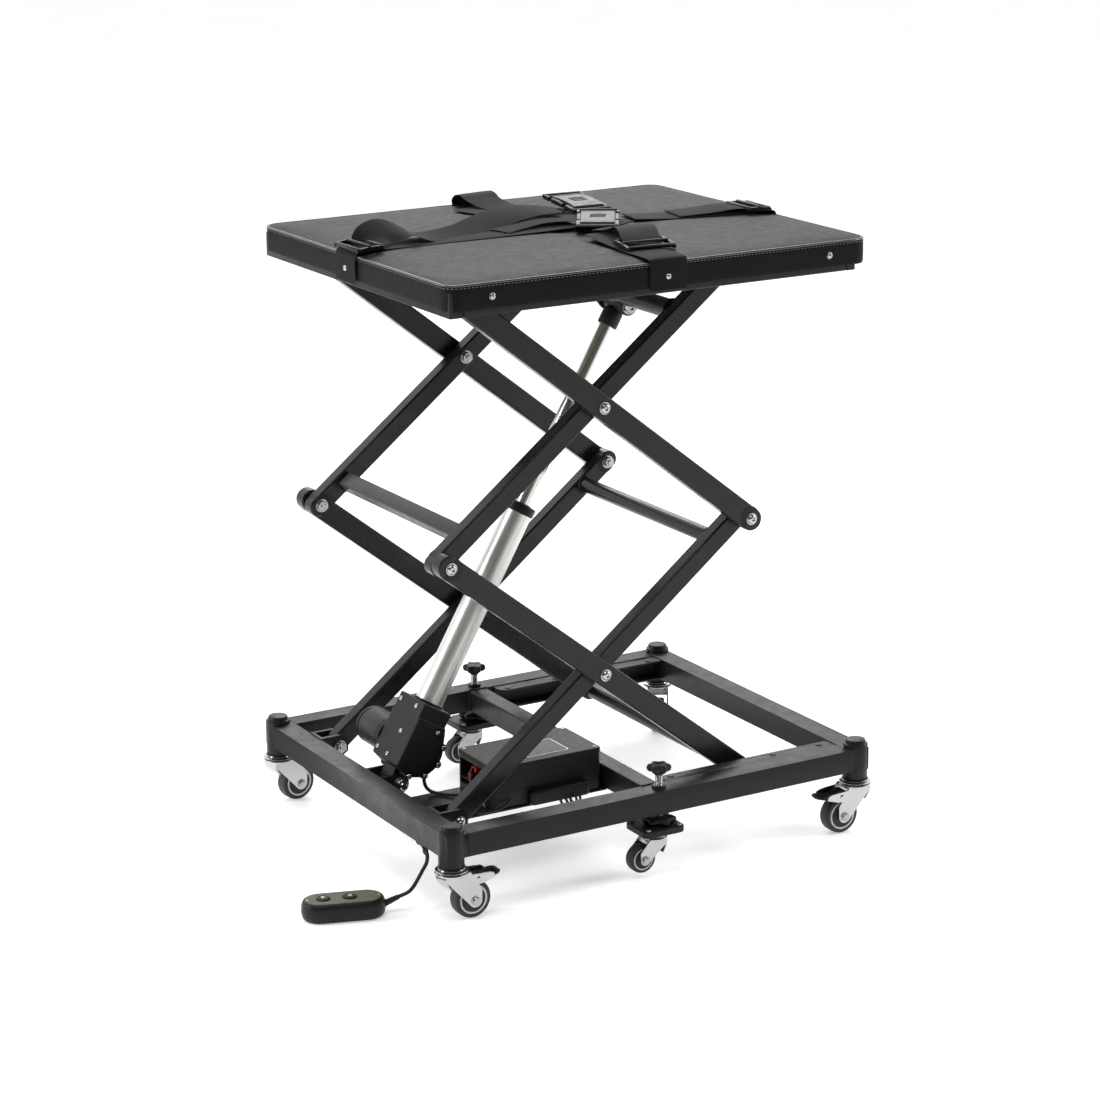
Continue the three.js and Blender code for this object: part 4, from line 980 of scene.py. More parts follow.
def build_pad():
    nx, ny = 118, 100
    bm = bmesh.new()

    def axis_pts(n, h):
        # denser near the edges
        out_ = []
        for i in range(n + 1):
            t = -1 + 2 * i / n
            out_.append(h * math.copysign(1 - (1 - abs(t)) ** 1.35, t) if abs(t) < 1 else h * t)
        return out_

    xs, ys = axis_pts(nx, HX - 1.2), axis_pts(ny, HY - 1.2)
    grid = []
    for i in range(nx + 1):
        row = []
        for j in range(ny + 1):
            x, y, d = ring_point(math.copysign(min(abs(xs[i]) + 1.2, HX), xs[i]) if abs(xs[i]) > HX - 1.3 else xs[i],
                                 math.copysign(min(abs(ys[j]) + 1.2, HY), ys[j]) if abs(ys[j]) > HY - 1.3 else ys[j])
            d = min(HX - abs(xs[i]), HY - abs(ys[j])) - 1.2
            x2, y2 = x, y
            row.append(bm.verts.new(D(CX + x2, CY + y2, PAD_Z + 0.2 + crown(x2, y2, d))))
        grid.append(row)
    for i in range(nx):
        for j in range(ny):
            bm.faces.new((grid[i][j], grid[i + 1][j], grid[i + 1][j + 1], grid[i][j + 1]))
    # rim loop, anticlockwise
    rim = [grid[i][0] for i in range(nx)] + [grid[nx][j] for j in range(ny)] + [grid[i][ny] for i in range(nx, 0, -1)] + [grid[0][j] for j in range(ny, 0, -1)]
    base = [v.co.copy() for v in rim]
    c = D(CX, CY, 0)
    # skirt: (outwards mm, z)
    levels = [(-0.4, PAD_Z - 0.6), (-0.9, PAD_Z - 2.0), (-0.2, PAD_Z - 4.0), (0.25, PAD_Z - 8), (0.35, PAD_Z - 14), (0.3, PAD_Z - 20), (0.15, PAD_Z - 26), (0.0, PAD_Z - 29.5), (-0.6, PAD_Z - 30.8), (-2.4, PAD_Z - 31), (-3.2, PAD_Z - 29)]
    prev = rim
    n = len(rim)
    for off, z in levels:
        cur = []
        for k in range(n):
            p, q = base[(k - 1) % n], base[(k + 1) % n]
            t = Vector((q.x - p.x, q.y - p.y, 0))
            nm = Vector((t.y, -t.x, 0)).normalized() if t.length > 1e-7 else Vector((0, 0, 0))
            wav = 0.35 * vnoise(k / 7.0, z / 9.0) if PAD_Z - 28 < z < PAD_Z - 5 else 0
            cur.append(bm.verts.new(Vector((base[k].x, base[k].y, (z - OZ) / 1000)) + nm * ((off + wav) / 1000)))
        for k in range(n):
            bm.faces.new((prev[k], prev[(k + 1) % n], cur[(k + 1) % n], cur[k]))
        prev = cur
    return bm, base


bm, rim_pts = build_pad()
pad = from_bm("upholstered_pad", bm, M["leather"], "platform", angle=70)
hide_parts("pad")
# the board that the pad is stapled to
prism("deck_board", rrect(EDGE0 + 4, EDGE1 - 4, EDGEY0 + 4, EDGEY1 - 4, 16), "xy", TOPZ + 15.9, TOPZ + 21.5, plastic("board_face", (0.09, 0.075, 0.055), 0.7, 500.0, 0.4), "platform", 0.6)

# piping and its stitches; the stitches' pale grey is painted highlight for the glints along the sewn edge
outline = rrect(EDGE0 + 0.2, EDGE1 - 0.2, EDGEY0 + 0.2, EDGEY1 - 0.2, RC, 8)


def resample(pts, step, closed=True):
    out_ = []
    m = len(pts)
    acc = 0.0
    for i in range(m if closed else m - 1):
        a, b = pts[i], pts[(i + 1) % m]
        L = math.hypot(b[0] - a[0], b[1] - a[1])
        while acc <= L:
            t = acc / L if L else 0
            out_.append((a[0] + (b[0] - a[0]) * t, a[1] + (b[1] - a[1]) * t, math.atan2(b[1] - a[1], b[0] - a[0])))
            acc += step
        acc -= L
    return out_


pp = [D(x, y, PAD_Z - 0.4 + 0.25 * vnoise(i / 3.0, 2.2)) for i, (x, y, a) in enumerate(resample(outline, 9.0))]
tube("pad_piping", pp, 1.5, M["piping"], "platform", cyclic=True, res=4, caps=False)
bm = bmesh.new()
for x, y, a in resample(rrect(EDGE0 - 0.15, EDGE1 + 0.15, EDGEY0 - 0.15, EDGEY1 + 0.15, RC, 8), 5.2):
    t = Vector((math.cos(a), math.sin(a), 0))
    nrm2 = Vector((math.sin(a), -math.cos(a), 0))
    c = D(x, y, PAD_Z - 3.4)
    rings = []
    for u_, r_ in ((-1.7, 0.12), (-1.1, 0.42), (0, 0.5), (1.1, 0.42), (1.7, 0.12)):
        ctr = c + t * (u_ / 1000) + nrm2 * (0.1 / 1000)
        rings.append([bm.verts.new(ctr + (nrm2 * math.cos(w) + Vector((0, 0, 1)) * math.sin(w)) * (r_ / 1000)) for w in (0, 1.05, 2.09, 3.14, 4.19, 5.24)])
    for ra, rb in zip(rings, rings[1:]):
        for i in range(6):
            bm.faces.new((ra[i], ra[(i + 1) % 6], rb[(i + 1) % 6], rb[i]))
    bm.faces.new(rings[0])
    bm.faces.new(list(reversed(rings[-1])))
from_bm("pad_stitches", bm, M["thread"], "platform")
# skirt screws
bm = bmesh.new()
for x in (75, 548):
    washer(bm, D(x, 4.0, PAD_Z - 16), Vector((0, -1, 0)), 4.3, 0.6, 2.0)
    cross_screw(bm, D(x, 3.2, PAD_Z - 16), Vector((0, -1, 0)), 3.6, 2.2)
    washer(bm, D(x, 500.0, PAD_Z - 16), Vector((0, 1, 0)), 4.3, 0.6, 2.0)
    cross_screw(bm, D(x, 500.8, PAD_Z - 16), Vector((0, 1, 0)), 3.6, 2.2)
for x, d, y in ((313, -1, 2.0), (313, 1, 502.0)):
    washer(bm, D(x, y, PAD_Z - 17), Vector((0, d, 0)), 4.3, 0.6, 2.0)
    cross_screw(bm, D(x, y + d * 0.8, PAD_Z - 17), Vector((0, d, 0)), 3.8, 2.2)
for y, d, x in ((259, -1, 15.4), (232, 1, 610.2)):
    washer(bm, D(x, y, PAD_Z - 17), Vector((d, 0, 0)), 4.3, 0.6, 2.0)
    cross_screw(bm, D(x + d * 0.8, y, PAD_Z - 17), Vector((d, 0, 0)), 3.8, 2.2)
from_bm("skirt_screws", bm, M["chrome"], "platform", angle=30)


# ------------------------------------------------------------------ harness straps
def strap(name, pts, width, side0, side1, body="platform", thick=1.3, per=10, twist=None):
    """A webbing ribbon along pts (design mm); side0/side1: directions across it at each end."""
    path = catmull([Vector(p) for p in pts], per)
    n = len(path)
    bm = bmesh.new()
    uvl = bm.loops.layers.uv.new("UVMap")
    rows, vs = [], []
    run = 0.0
    across = 6
    for i, p in enumerate(path):
        if i:
            run += (p - path[i - 1]).length
        t = (path[min(i + 1, n - 1)] - path[max(i - 1, 0)]).normalized()
        f = i / (n - 1)
        s = side0.lerp(side1, f)
        if twist:
            s = twist(f, s, t)
        s = (s - t * s.dot(t)).normalized()
        up = s.cross(t).normalized()
        if up.z < 0 and abs(up.z) > 0.2:
            up = -up
        row = []
        for side in (1, -1):
            for k in range(across + 1):
                w = (k / across - 0.5) * width * side
                e = thick / 2 * (1 - 0.7 * (abs(w) / (width / 2)) ** 8)
                curl = -0.35 * (abs(w) / (width / 2)) ** 2
                q = p + s * w + up * (e * side + curl)
                row.append(bm.verts.new(D(q.x, q.y, q.z)))
        rows.append(row)
        vs.append(run)
    m = 2 * (across + 1)
    for i in range(n - 1):
        for k in range(m):
            a, b = k, (k + 1) % m
            f = bm.faces.new((rows[i][a], rows[i][b], rows[i + 1][b], rows[i + 1][a]))
            for lp, (kk, vv) in zip(f.loops, ((k, vs[i]), (k + 1, vs[i]), (k + 1, vs[i + 1]), (k, vs[i + 1]))):
                u = kk if kk <= across else (m - kk)
                lp[uvl].uv = (u / across * width / 1000, vv / 1000)
    bm.faces.new(list(reversed(rows[0])))
    bm.faces.new(rows[-1])
    o = from_bm(name, bm, M["web"], body, angle=60)
    return o


def frame_at(cx, cy, cz, yaw, pitch=0.0, roll=0.0):
    """Transform for a fitting built about the design origin, its length along +x."""
    c = D(cx, cy, cz)
    return Matrix.Translation(c) @ Matrix.Rotation(math.radians(yaw), 4, "Z") @ Matrix.Rotation(math.radians(-pitch), 4, "Y") @ Matrix.Rotation(math.radians(roll), 4, "X") @ Matrix.Translation(-D(0, 0, 0))


def ladder_lock(tag, xf, w=56, L=34, body="platform"):
    """Three-bar slide with raised outer bars."""
    objs = []
    for k, y in enumerate((-w / 2, w / 2)):
        objs.append(prism("slide_side_%s_%d" % (tag, k), [(-L / 2, -2.6), (L / 2, -2.6), (L / 2 + 1, 0), (L / 2 - 1, 2.6), (0, 3.6), (-L / 2 + 1, 2.6), (-L / 2 - 1, 0)], "xz",
                          y - 2.2, y + 2.2, M["shine"], None, 1.0))
    for k, (x, z, r) in enumerate(((-L / 2 + 2.4, 1.2, 2.6), (0, 3.0, 2.3), (L / 2 - 2.4, 1.2, 2.6))):
        bm = bmesh.new()
        lathe_into(bm, [(0.3, 0), (r * 0.9, 0), (r, 0.6), (r, w - 0.6), (r * 0.9, w), (0.3, w)], D(x, -w / 2, z), Vector((0, 1, 0)), 20)
        objs.append(from_bm("slide_bar_%s_%d" % (tag, k), bm, M["shine"], None, angle=30))
    for o in objs:
        apply(o, xf)
        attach(o, body)
    return objs


def side_release(tag, xf, w=54, body="platform"):
    """Two-piece squeeze buckle: arched body, prongs showing at its sides, and a male end."""
    objs = []
    shell = [(-30, -4.2), (30, -4.2), (31, -1), (27, 3.6), (12, 5.4), (-12, 5.6), (-27, 4.0), (-31, -1)]
    objs.append(prism("buckle_shell_" + tag, shell, "xz", -w / 2 + 5, w / 2 - 5, M["shine"], None, 1.8, 25, 4))
    for k, d in enumerate((-1, 1)):
        y = d * (w / 2 - 3)
        pr = [(-6, -3), (20, -3), (24, 0), (20, 2.8), (8, 3.4), (-6, 2.2)]
        objs.append(prism("buckle_prong_%s_%d" % (tag, k), pr, "xz", min(y - 2.6, y + 2.6), max(y - 2.6, y + 2.6), M["shine"], None, 1.2))
        rail = [(-33, -3.4), (-14, -3.6), (-10, -0.5), (-14, 3.2), (-30, 2.2)]
        objs.append(prism("buckle_rail_%s_%d" % (tag, k), rail, "xz", min(y - 3, y + 3), max(y - 3, y + 3), M["shine"], None, 1.2))
    for k, (x, z) in enumerate(((-34, 0), (34, 0), (38.5, 1.4))):
        bm = bmesh.new()
        lathe_into(bm, [(0.3, 0), (2.2, 0), (2.5, 0.7), (2.5, w - 0.7), (2.2, w), (0.3, w)], D(x, -w / 2, z), Vector((0, 1, 0)), 20)
        objs.append(from_bm("buckle_bar_%s_%d" % (tag, k), bm, M["shine"], None, angle=30))
    for k, d in enumerate((-1, 1)):
        y = d * w / 2
        objs.append(prism("buckle_link_%s_%d" % (tag, k), [(26, -2.6), (40, -2.2), (41, 1), (38, 3.4), (26, 3)], "xz", min(y, y - d * 3.4), max(y, y - d * 3.4), M["shine"], None, 0.9))
    # ribs across the centre
    for k, x in enumerate((-8, -2, 4)):
        objs.append(rbox("buckle_rib_%s_%d" % (tag, k), x, x + 2, -10, 10, 5.0, 6.2, M["shine"], None, 0.4, segments=2))
    for o in objs:
        apply(o, xf)
        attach(o, body)
    return objs


Z = PAD_Z + 4.6
# the buckles are a little longer than they are drawn
STRETCH = Matrix.Translation(D(0, 0, 0)) @ Matrix.Diagonal((1.18, 1.0, 1.0, 1.0)) @ Matrix.Translation(-D(0, 0, 0))
SW = 52.0
XF, YL = 313.5, 258.0
Xd, Yd = Vector((1, 0, 0)), Vector((0, 1, 0))
# left strap: up the skirt, through its slide, a raised loop, then across towards the middle
s1 = strap("strap_left", [(14.6, YL, PAD_Z - 33), (14.6, YL, PAD_Z - 18), (14.6, YL, PAD_Z - 4), (16.4, YL, PAD_Z + 3), (23, YL, Z + 0.6), (34, YL, Z + 1.6), (46, YL + 1, Z + 1.4),
                          (70, YL + 3, Z + 0.6), (120, YL + 4, Z + 0.2), (180, YL + 4, Z + 0.4), (240, YL + 2, Z + 1.0), (290, YL, Z + 2.0), (330, YL - 2, Z + 3.6)], SW, Yd, Yd)
strap("strap_left_tail", [(40, YL + 2, Z + 3.2), (50, YL + 6, Z + 8), (64, YL + 14, Z + 13.5), (84, YL + 20, Z + 16), (104, YL + 20, Z + 12), (124, YL + 14, Z + 5.5), (150, YL + 10, Z + 2.4), (190, YL + 18, Z + 3.0),
                          (225, YL + 34, Z + 7.5), (262, YL + 48, Z + 13), (300, YL + 52, Z + 15), (336, YL + 44, Z + 14)],
      SW - 2, Yd, (Yd + Xd * 0.1).normalized(), twist=lambda f, s, t: (s + Vector((0, 0, 1)) * (0.5 * math.sin(math.pi * min(1, f * 2.4)) if f < 0.42 else 0.28 * math.sin(math.pi * (f - 0.42) / 0.58))))
strap("strap_fold", [(226, YL + 10, Z + 2.6), (262, YL + 20, Z + 5.0), (300, YL + 22, Z + 8.0), (338, YL + 8, Z + 8.0), (366, YL - 16, Z + 5.5), (384, YL - 44, Z + 4.0)], SW, (Yd - Xd * 0.3).normalized(), (Yd + Xd * 0.7).normalized())
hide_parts("strap_harness")
ladder_lock("left", frame_at(33, YL, Z + 3.8, 0, 4), w=60, L=36)
# back strap: over the rear edge, through a loop, to the buckle
strap("strap_back", [(XF + 6, 503.2, PAD_Z - 33), (XF + 6, 503.2, PAD_Z - 12), (XF + 6, 502.8, PAD_Z - 1), (XF + 5, 500, Z + 4), (XF + 3, 488, Z + 11), (XF, 468, Z + 13), (XF - 2, 448, Z + 9), (XF + 4, 420, Z + 3.4),
                     (XF + 18, 390, Z + 2.0), (XF + 36, 360, Z + 3.0), (XF + 52, 330, Z + 5)], SW, Xd, (Xd + Yd * 0.3).normalized())
strap("strap_back_tail", [(XF - 30, 440, Z + 1.2), (XF - 20, 405, Z + 1.4), (XF - 10, 370, Z + 1.2), (XF, 330, Z + 1.4), (XF + 10, 300, Z + 2)], SW, Xd, Xd)
# right strap: from the middle to the right edge and its slide
strap("strap_right", [(604 + 6.4, 236, PAD_Z - 33), (610.6, 236, PAD_Z - 16), (610.4, 236, PAD_Z - 3), (608, 236, PAD_Z + 3.4), (600, 237, Z + 1.2), (584, 239, Z + 1.8), (556, 243, Z + 0.8), (510, 250, Z + 0.2), (460, 258, Z + 0.6), (420, 266, Z + 2.6)],
      SW, Yd, (Yd - Xd * 0.1).normalized())
ladder_lock("right", frame_at(586, 239, Z + 3.8, -3, -3))
strap("strap_right_tail", [(578, 240, Z + 4.4), (556, 244, Z + 6.2), (520, 250, Z + 3.6), (480, 256, Z + 2.2)], SW - 2, Yd, Yd)
# front strap: up the skirt at the middle, slide, raised loop and buckle
strap("strap_front", [(XF, 1.2, PAD_Z - 33), (XF, 1.2, PAD_Z - 18), (XF, 1.2, PAD_Z - 4), (XF, 3.2, PAD_Z + 3), (XF, 11, Z + 0.6), (XF, 30, Z + 1.2), (XF, 60, Z + 1.4), (XF + 4, 90, Z + 1.8), (XF + 8, 130, Z + 2.6), (XF + 12, 170, Z + 4.4)],
      SW, Xd, Xd)
ladder_lock("front", frame_at(XF + 12, 74, Z + 5.0, 86, 7), w=62, L=38)
strap("strap_front_loop", [(XF + 6, 66, Z + 5.4), (XF + 12, 84, Z + 12), (XF + 24, 112, Z + 17.5), (XF + 34, 140, Z + 16.5), (XF + 34, 165, Z + 10), (XF + 26, 190, Z + 6)], SW - 2, Xd, (Xd + Yd * 0.12).normalized())
side_release("front", frame_at(XF + 44, 236, Z + 8.5, 58, 3) @ STRETCH)
side_release("rear", frame_at(XF + 80, 346, Z + 11.0, 86, 4) @ STRETCH)

# ------------------------------------------------------------------ control box
BODY = "base"
o = prism("box_body", rrect(128, 285, 114, 206, 6), "xy", -27.2, 24.6, M["box"], BODY, 1.6)
# hollow left end
cut = rbox("box_cut", 120, 150, 122, 198, -14, 18, M["box"], None, 0)
md = o.modifiers.new("mouth", "BOOLEAN")
md.operation = "DIFFERENCE"
md.object = cut
md.solver = "EXACT"
bpy.context.view_layer.objects.active = o
o.modifiers.move(1, 0)
dg = bpy.context.evaluated_depsgraph_get()
mods = [m_ for m_ in o.modifiers]
while o.modifiers[0].name != "mouth":
    o.modifiers.move(1, 0)
tmp = [m_.name for m_ in o.modifiers if m_.name != "mouth"]
with bpy.context.temp_override(object=o):
    bpy.ops.object.modifier_apply(modifier="mouth")
bpy.data.objects.remove(cut)
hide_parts("control_box")
prism("box_lid", rrect(127.2, 285.8, 113.2, 206.8, 6.6), "xy", 20.6, 28.2, M["box"], BODY, 1.8)
prism("box_band", rrect(127.7, 285.3, 113.7, 206.3, 6.2), "xy", -6.5, -5.4, M["black"], BODY, 0.4)
# blank plate with a silver edge on the lid
prism("box_plate_edge", rrect(186, 246, 128, 176, 2.5), "xy", 28.0, 28.5, M["silver"], BODY, 0.2)
prism("box_plate", rrect(187.2, 244.8, 129.2, 174.8, 2), "xy", 28.1, 28.8, M["label"], BODY, 0.2)
# rounded module on the lower front
prism("box_module", rrect(176, 262, 101, 116, 6), "xy", -27.2, -9, M["black"], BODY, 3.0)
bm = bmesh.new()
for x, y in ((134, 120), (279, 120), (134, 200), (279, 200)):
    cross_screw(bm, D(x, y, 28.2), Vector((0, 0, 1)), 2.6, 0.9)
from_bm("box_screws", bm, M["zinc"], BODY, angle=30)
# plugs and wires in the open end
for k, (y, z, w_, h_, mt) in enumerate(((132, -6, 12, 9, "white"), (147, -7, 10, 8, "white"), (160, -6, 14, 10, "black"), (180, -4, 12, 12, "black"), (136, 8, 9, 7, "yellow"), (152, 9, 9, 7, "black"), (170, 10, 12, 6, "red"))):
    rbox("plug_%d" % k, 131 + (k % 3), 149, y - w_ / 2, y + w_ / 2, z - h_ / 2, z + h_ / 2, M[mt], BODY, 0.7, segments=2)
    lathe("plug_pin_%d" % k, [(0.2, 0), (2.0, 0), (2.0, 3.4), (1.2, 4), (0.2, 4)], D(131 + (k % 3), y, z), Vector((-1, 0, 0)), M["brass"] if mt == "white" else M["black"], BODY, seg=16)
for k, (mt, y0, z0, y1, z1) in enumerate((("yellow", 134, 8, 128, -10), ("red", 170, 10, 150, -8), ("white", 132, -5, 126, -18), ("red", 147, -5, 140, -20), ("yellow", 150, 9, 160, -16))):
    tube("wire_%d" % k, [D(133, y0, z0), D(126, y0, z0 + 1), D(119 - k, (y0 + y1) / 2, (z0 + z1) / 2 + 2), D(118 + k, y1, z1), D(124, y1 + 3, -25.6)], 0.9, M[mt], BODY, res=3)
lathe("box_gland", [(2.7, 0), (5.6, 0), (5.6, 3), (4.8, 4), (4.4, 7), (2.7, 7)], D(240, 206, -14), Vector((0, 1, 0)), M["black"], BODY, closed=True)
# short leads between the actuator, the box and the tray
gx = A(16, 24)
tube("motor_lead", [D(84, 215, -7), D(84, 214.9, -13), D(86, 213.6, -20), D(91, 208, -24.8), D(99, 196, -24.9), D(110, 182, -24.8), D(122, 172, -21), D(130, 168, -12), D(134, 168, -6)], 2.3, M["cable"], BODY)
for k, (x, y, h) in enumerate(((226, 106, 16), (233, 104, 13), (240, 107, 10))):
    tube("loop_lead_%d" % k, [D(x - 7, y + 6, -18), D(x - 9, y - 4, -26), D(x - 5, y - 11, -33 - h * 0.4), D(x + 2, y - 12, -30 - h * 0.5), D(x + 6, y - 8, -25), D(x + 5, y + 2, -20), D(x + 4, y + 8, -15)], 1.7, M["cable"], BODY)
tube("side_lead", [D(150, 110, -16), D(138, 104, -22), D(118, 108, -25), D(96, 112, -24.6), D(74, 120, -25), D(58, 130, -25)], 1.9, M["cable"], BODY)
for k, (x, y) in enumerate(((98, 112), (74, 121))):
    rbox("tie_base_%d" % k, x - 5, x + 5, y - 5, y + 5, -27.5, -25.5, M["black"], BODY, 0.6, segments=2)
    pts = [D(x, y + 3.2 * math.cos(a), -24.4 + 3.0 * math.sin(a)) for a in [2 * math.pi * i / 14 for i in range(14)]]
    tube("tie_%d" % k, pts, 0.8, M["black"], BODY, cyclic=True, res=2)

# ------------------------------------------------------------------ handset
HSX, HSY, HST = -95.0, 91.0, -18.6
hx = Matrix.Translation(D(HSX, HSY, -112)) @ Matrix.Rotation(math.radians(HST), 4, "Z") @ Matrix.Translation(-D(0, 0, 0))


def stadium(hl, r, n=20):
    return bar_pts((-hl, 0), (hl, 0), r, r, r, n)


bm = bmesh.new()
rows = []
for r_, z_ in ((17.0, 0.0), (20.0, 0.8), (22.2, 3.6), (23.3, 8.0), (23.5, 12.5), (23.2, 17.5), (22.4, 21.0), (21.0, 23.6), (19.4, 24.7), (18.8, 24.6)):
    rows.append([bm.verts.new(D(p, q, z_)) for p, q in stadium(28, r_)])
n_ = len(rows[0])
for a_, b_ in zip(rows, rows[1:]):
    for i in range(n_):
        bm.faces.new((a_[i], a_[(i + 1) % n_], b_[(i + 1) % n_], b_[i]))
bm.faces.new(rows[0])
bm.faces.new(list(reversed(rows[-1])))
o = from_bm("handset_shell", bm, M["black"], None, angle=50)
apply(o, hx)
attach(o, "base")
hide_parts("handset_body")
o = prism("handset_panel", stadium(28, 18.6), "xy", 24.0, 25.2, M["face"], None, 0.4)
apply(o, hx)
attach(o, "base")
for k, r_ in enumerate((23.62,)):
    o = tube("handset_seam", [D(*p, 12.4) for p in stadium(28, 23.45)], 0.35, M["cable"], None, cyclic=True, res=2)
    o.matrix_world = hx
    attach(o, "base")
for nm, u_ in (("up", -24), ("down", 8)):
    o = lathe("button_%s" % nm, [(0.3, 22.8), (7.9, 22.8), (7.9, 26.0), (7.2, 26.9), (5.6, 27.2), (0.3, 26.8)], D(u_, 0, 0), Vector((0, 0, 1)), M["button"], None, seg=40)
    apply(o, hx)
    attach(o, "handset_button_" + nm)
    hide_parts("handset_button_" + nm)
    o = lathe("button_ring_%s" % nm, [(8.4, 24.8), (9.3, 24.8), (9.3, 25.5), (8.9, 25.8), (8.4, 25.6)], D(u_, 0, 0), Vector((0, 0, 1)), M["black"], None, seg=40, closed=True)
    apply(o, hx)
    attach(o, "base")
    # raised chevron on each button
    sg = 1 if nm == "up" else -1
    o = prism("button_mark_%s" % nm, [(u_ - 2.4 * sg, -3.2), (u_ + 2.8 * sg, 0), (u_ - 2.4 * sg, 3.2)] if sg > 0 else [(u_ + 2.4, 3.2), (u_ - 2.8, 0), (u_ + 2.4, -3.2)], "xy", 26.8, 27.5, M["white"], None, 0.15)
    apply(o, hx)
    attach(o, "handset_button_" + nm)
bm = bmesh.new()
for x_, y_ in ((-44, 0), (44, 0)):
    cross_screw(bm, D(x_, y_, 25.0), Vector((0, 0, 1)), 1.6, 0.5)
o = from_bm("handset_screws", bm, M["zinc"], None, angle=30)
apply(o, hx)
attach(o, "base")
# ribbed strain relief
rt = math.radians(22)
prof = [(2.7, 0), (4.6, 0)]
for i in range(6):
    s0 = 0.8 + i * 3.3
    r0 = 4.5 - i * 0.22
    prof += [(r0, s0), (r0, s0 + 2.0), (r0 - 0.7, s0 + 2.3), (r0 - 0.75, s0 + 3.0)]
prof += [(3.2, 20.8), (2.7, 21.0)]
relief = lathe("strain_relief", prof, D(49, 0, 12), Vector((math.cos(rt), 0, math.sin(rt))), M["cable"], None, seg=28, closed=True, angle=30)
apply(relief, hx)
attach(relief, "base")

# ------------------------------------------------------------------ lead
LEAD = [
    (214.6, 241.6, -24.4), (210, 231.5, -24.3), (201, 226, -25.2), (189, 222, -30.5), (160, 216, -36.5), (120, 196, -38),
    (80, 162, -38), (48, 134, -37), (26, 116, -36.7), (15, 101, -38.6), (14.5, 89, -42.5), (16, 81.5, -50.5),
    (15, 81, -61), (9, 80.5, -70), (-2, 74.5, -79), (-11, 69, -84.4), (-19.2, 65.6, -87.6)]
u_ = 49 + 21.0 * math.cos(rt)
v_ = 12 + 21.0 * math.sin(rt)
hc, hs_ = math.cos(math.radians(HST)), math.sin(math.radians(HST))
END = (HSX + u_ * hc, HSY + u_ * hs_, -112 + v_)
coil = []
CXc, CYc, RM = 250.0, 255.0, 29.0
turns, per = 4, 16
start = math.atan2(241.6 - CYc, 214.6 - CXc)
lay = [(27.2, 0.0), (32.0, 0.2), (29.6, 4.6), (30.6, 9.2)]
gl = [D(240, 213.4, -14), D(240.3, 217, -14.1), D(243.4, 221.6, -14.5), D(250, 225.2, -15), D(258.4, 227.9, -15.3)]
total = turns * per
pts = []
for i in range(total + 1):
    f = i / per
    k = min(int(f), turns - 1)
    w = f - k
    r0, h0 = lay[turns - 1 - k]
    r1, h1 = lay[max(turns - 2 - k, 0)]
    w2 = max(0.0, (w - 0.78) / 0.22)
    w2 = w2 * w2 * (3 - 2 * w2)
    if k == turns - 1:
        r1, h1 = 33.4, 0.2
    r, h = r0 + (r1 - r0) * w2, h0 + (h1 - h0) * w2
    a = start - 2 * math.pi * (total - i) / per + math.radians(-8)
    pts.append(D(CXc + r * math.cos(a), CYc + r * math.sin(a), -24.6 + h))
route = gl + pts[5:] + [D(*p) for p in LEAD[1:]] + [D(*END)]


def cord_curve(name, p, r, material):
    fine = catmull(p, 6)
    cu = bpy.data.curves.new(name, "CURVE")
    cu.dimensions = "3D"
    cu.bevel_depth = r
    cu.bevel_resolution = 5
    cu.use_fill_caps = True
    s_ = cu.splines.new("POLY")
    s_.points.add(len(fine) - 1)
    for i, q in enumerate(fine):
        s_.points[i].co = (*q, 1)
    for q in s_.points:
        q.radius = 1.0
    s_.use_smooth = True
    cu.materials.append(material)
    ob = bpy.data.objects.new(name, cu)
    bpy.context.scene.collection.objects.link(ob)
    return ob, fine


lead, fine = cord_curve("handset_cable", route, 0.0024, M["cable"])
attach(lead, "base")
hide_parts("handset_lead", "lead_coil")
# clips that hold the lead under the left tube
for k, (x, y, z) in enumerate(((15, 101, -38.6), (15.2, 84, -46.5))):
    pts = [D(x + 0.4 * math.sin(a), y + 4.4 * math.cos(a), z + 4.4 * math.sin(a)) for a in [2 * math.pi * i / 16 for i in range(16)]]
    tube("lead_clip_%d" % k, pts, 1.7, M["black"], "base", cyclic=True, res=3)
    rbox("lead_clip_tab_%d" % k, x - 4.5, x + 4.5, y - 2.2, y + 2.6, z + 3.4, -30.1, M["black"], "base", 0.7, segments=2)
# tie round the coil
for k, a in enumerate((0.9, 2.9)):
    c_, s_ = math.cos(a), math.sin(a)
    loop = []
    for i in range(16):
        w = 2 * math.pi * i / 16
        rr, hh = 29.6 + 7.0 * math.cos(w), 7.3 + 9.2 * math.sin(w)
        loop.append(D(CXc + rr * c_, CYc + rr * s_, -26.9 + max(hh, 0.6)))
    tube("coil_tie_%d" % k, loop, 0.8, M["black"], "base", cyclic=True, res=2)

# ------------------------------------------------------------------ floor, lights, camera
me = bpy.data.meshes.new("floor")
S = 14.0
me.from_pydata([(-S, -S, -0.0002), (S, -S, -0.0002), (S, S, -0.0002), (-S, S, -0.0002)], [], [(0, 1, 2, 3)])
floor = bpy.data.objects.new("floor", me)
bpy.context.scene.collection.objects.link(floor)
fm, fn_, fl_, fb_ = nt("pale_floor", (0.93, 0.93, 0.93), 0.75)
fl_.new(span(fn_, fl_, noise(fn_, fl_, coords(fn_), 3.0, 3.0), 0.7, 0.8), fb_.inputs["Roughness"])
fb_.inputs["Emission Color"].default_value = (1, 1, 1, 1)
fb_.inputs["Emission Strength"].default_value = 0.41
me.materials.append(fm)

w = bpy.data.worlds.new("studio")
bpy.context.scene.world = w
w.use_nodes = True
bg = w.node_tree.nodes["Background"]
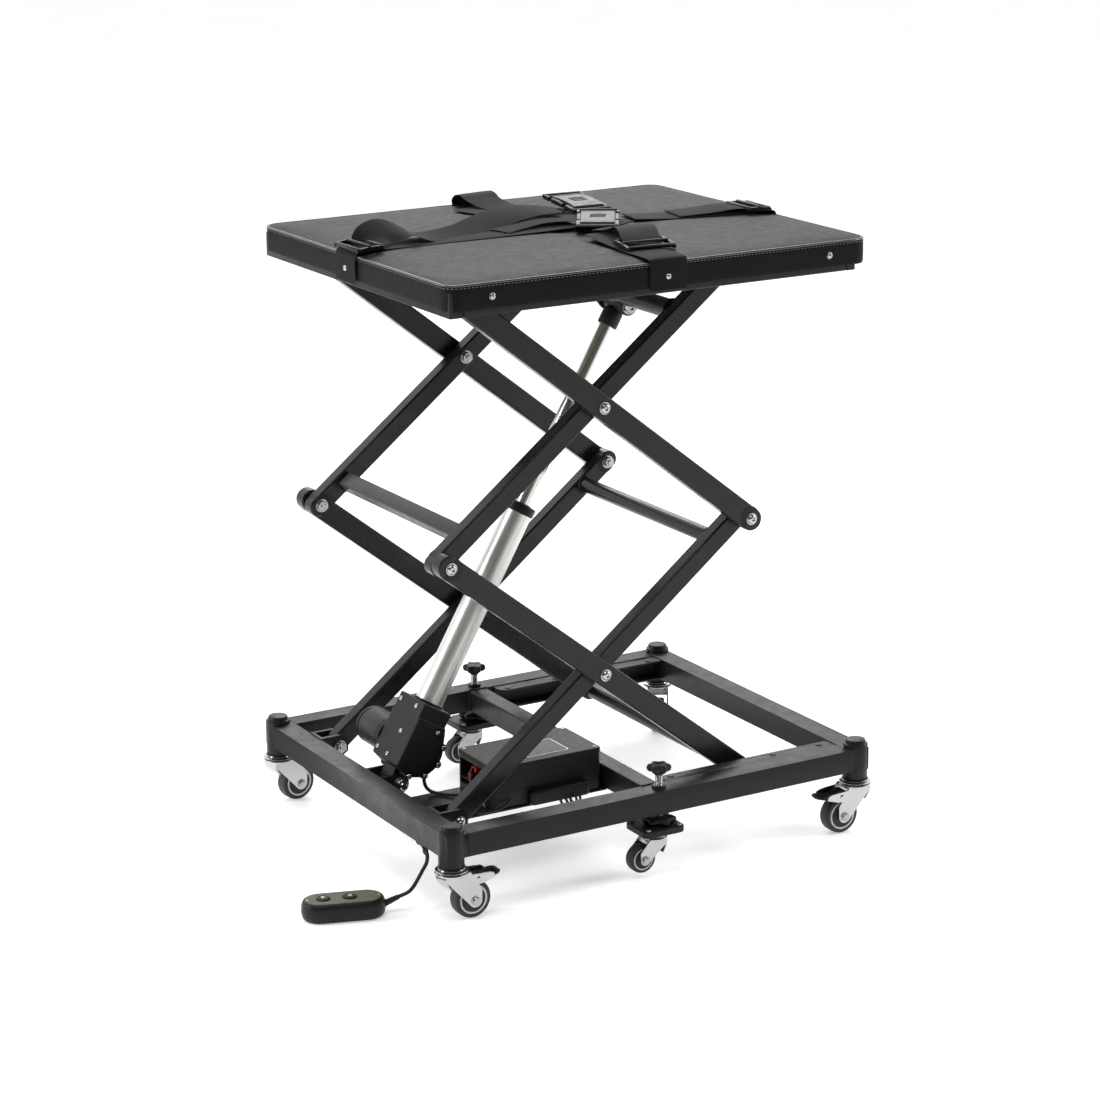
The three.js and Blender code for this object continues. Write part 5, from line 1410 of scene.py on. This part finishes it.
# a white sweep behind the object, a dim room in front of it and a soft ceiling
wn, wl = w.node_tree.nodes, w.node_tree.links
wc = wn.new("ShaderNodeTexCoord")
dot = wn.new("ShaderNodeVectorMath")
dot.operation = "DOT_PRODUCT"
dot.inputs[1].default_value = (0.5, 0.86, 0.0)
wl.new(wc.outputs["Generated"], dot.inputs[0])
wr = wn.new("ShaderNodeMapRange")
wr.inputs["From Min"].default_value = -0.15
wr.inputs["From Max"].default_value = 0.55
wr.inputs["To Min"].default_value = 0.13
wr.inputs["To Max"].default_value = 1.3
wl.new(dot.outputs["Value"], wr.inputs["Value"])
wl.new(wr.outputs["Result"], bg.inputs["Strength"])
bg.inputs["Color"].default_value = (1, 1, 1, 1)


def area(name, loc, target, size, energy, size_y=None):
    li = bpy.data.lights.new(name, "AREA")
    li.energy = energy
    li.shape = "RECTANGLE" if size_y else "SQUARE"
    li.size = size
    if size_y:
        li.size_y = size_y
    ob = bpy.data.objects.new(name, li)
    bpy.context.scene.collection.objects.link(ob)
    ob.location = loc
    ob.rotation_euler = (Vector(target) - Vector(loc)).to_track_quat("-Z", "Y").to_euler()
    return ob


area("key", (-1.0, -0.9, 3.4), (0, 0, 0.4), 1.5, 42)
area("left_strip", (-3.0, 0.9, 1.5), (0, 0, 0.45), 0.5, 52, 2.2)
area("right_strip", (2.6, -1.5, 1.7), (0, 0, 0.45), 0.35, 26, 2.0)
area("back_fill", (1.6, 2.6, 2.6), (0, 0, 0.5), 2.0, 45)

scene = bpy.context.scene
scene.view_settings.view_transform = "Standard"
scene.view_settings.look = "None"
cam = bpy.data.cameras.new("camera")
cam.lens = 101.45
cam.sensor_width = 36
cam.clip_end = 60
co = bpy.data.objects.new("camera", cam)
scene.collection.objects.link(co)
az, el, roll = math.radians(-30.217), math.radians(15.799), math.radians(0.517)
back = Vector((-math.sin(-az) * math.cos(el), -math.cos(az) * math.cos(el), math.sin(el)))
tgt = D(375.45, 393.40, 206.67)
co.location = tgt + back * 4.1527
right = Vector((math.cos(az), math.sin(az), 0)).normalized()
upv = back.cross(right).normalized()
c_, s_ = math.cos(roll), math.sin(roll)
r2 = right * c_ - upv * s_
u2 = right * s_ + upv * c_
co.matrix_world = Matrix(((r2.x, u2.x, back.x, co.location.x), (r2.y, u2.y, back.y, co.location.y), (r2.z, u2.z, back.z, co.location.z), (0, 0, 0, 1)))
scene.camera = co

bpy.context.view_layer.update()
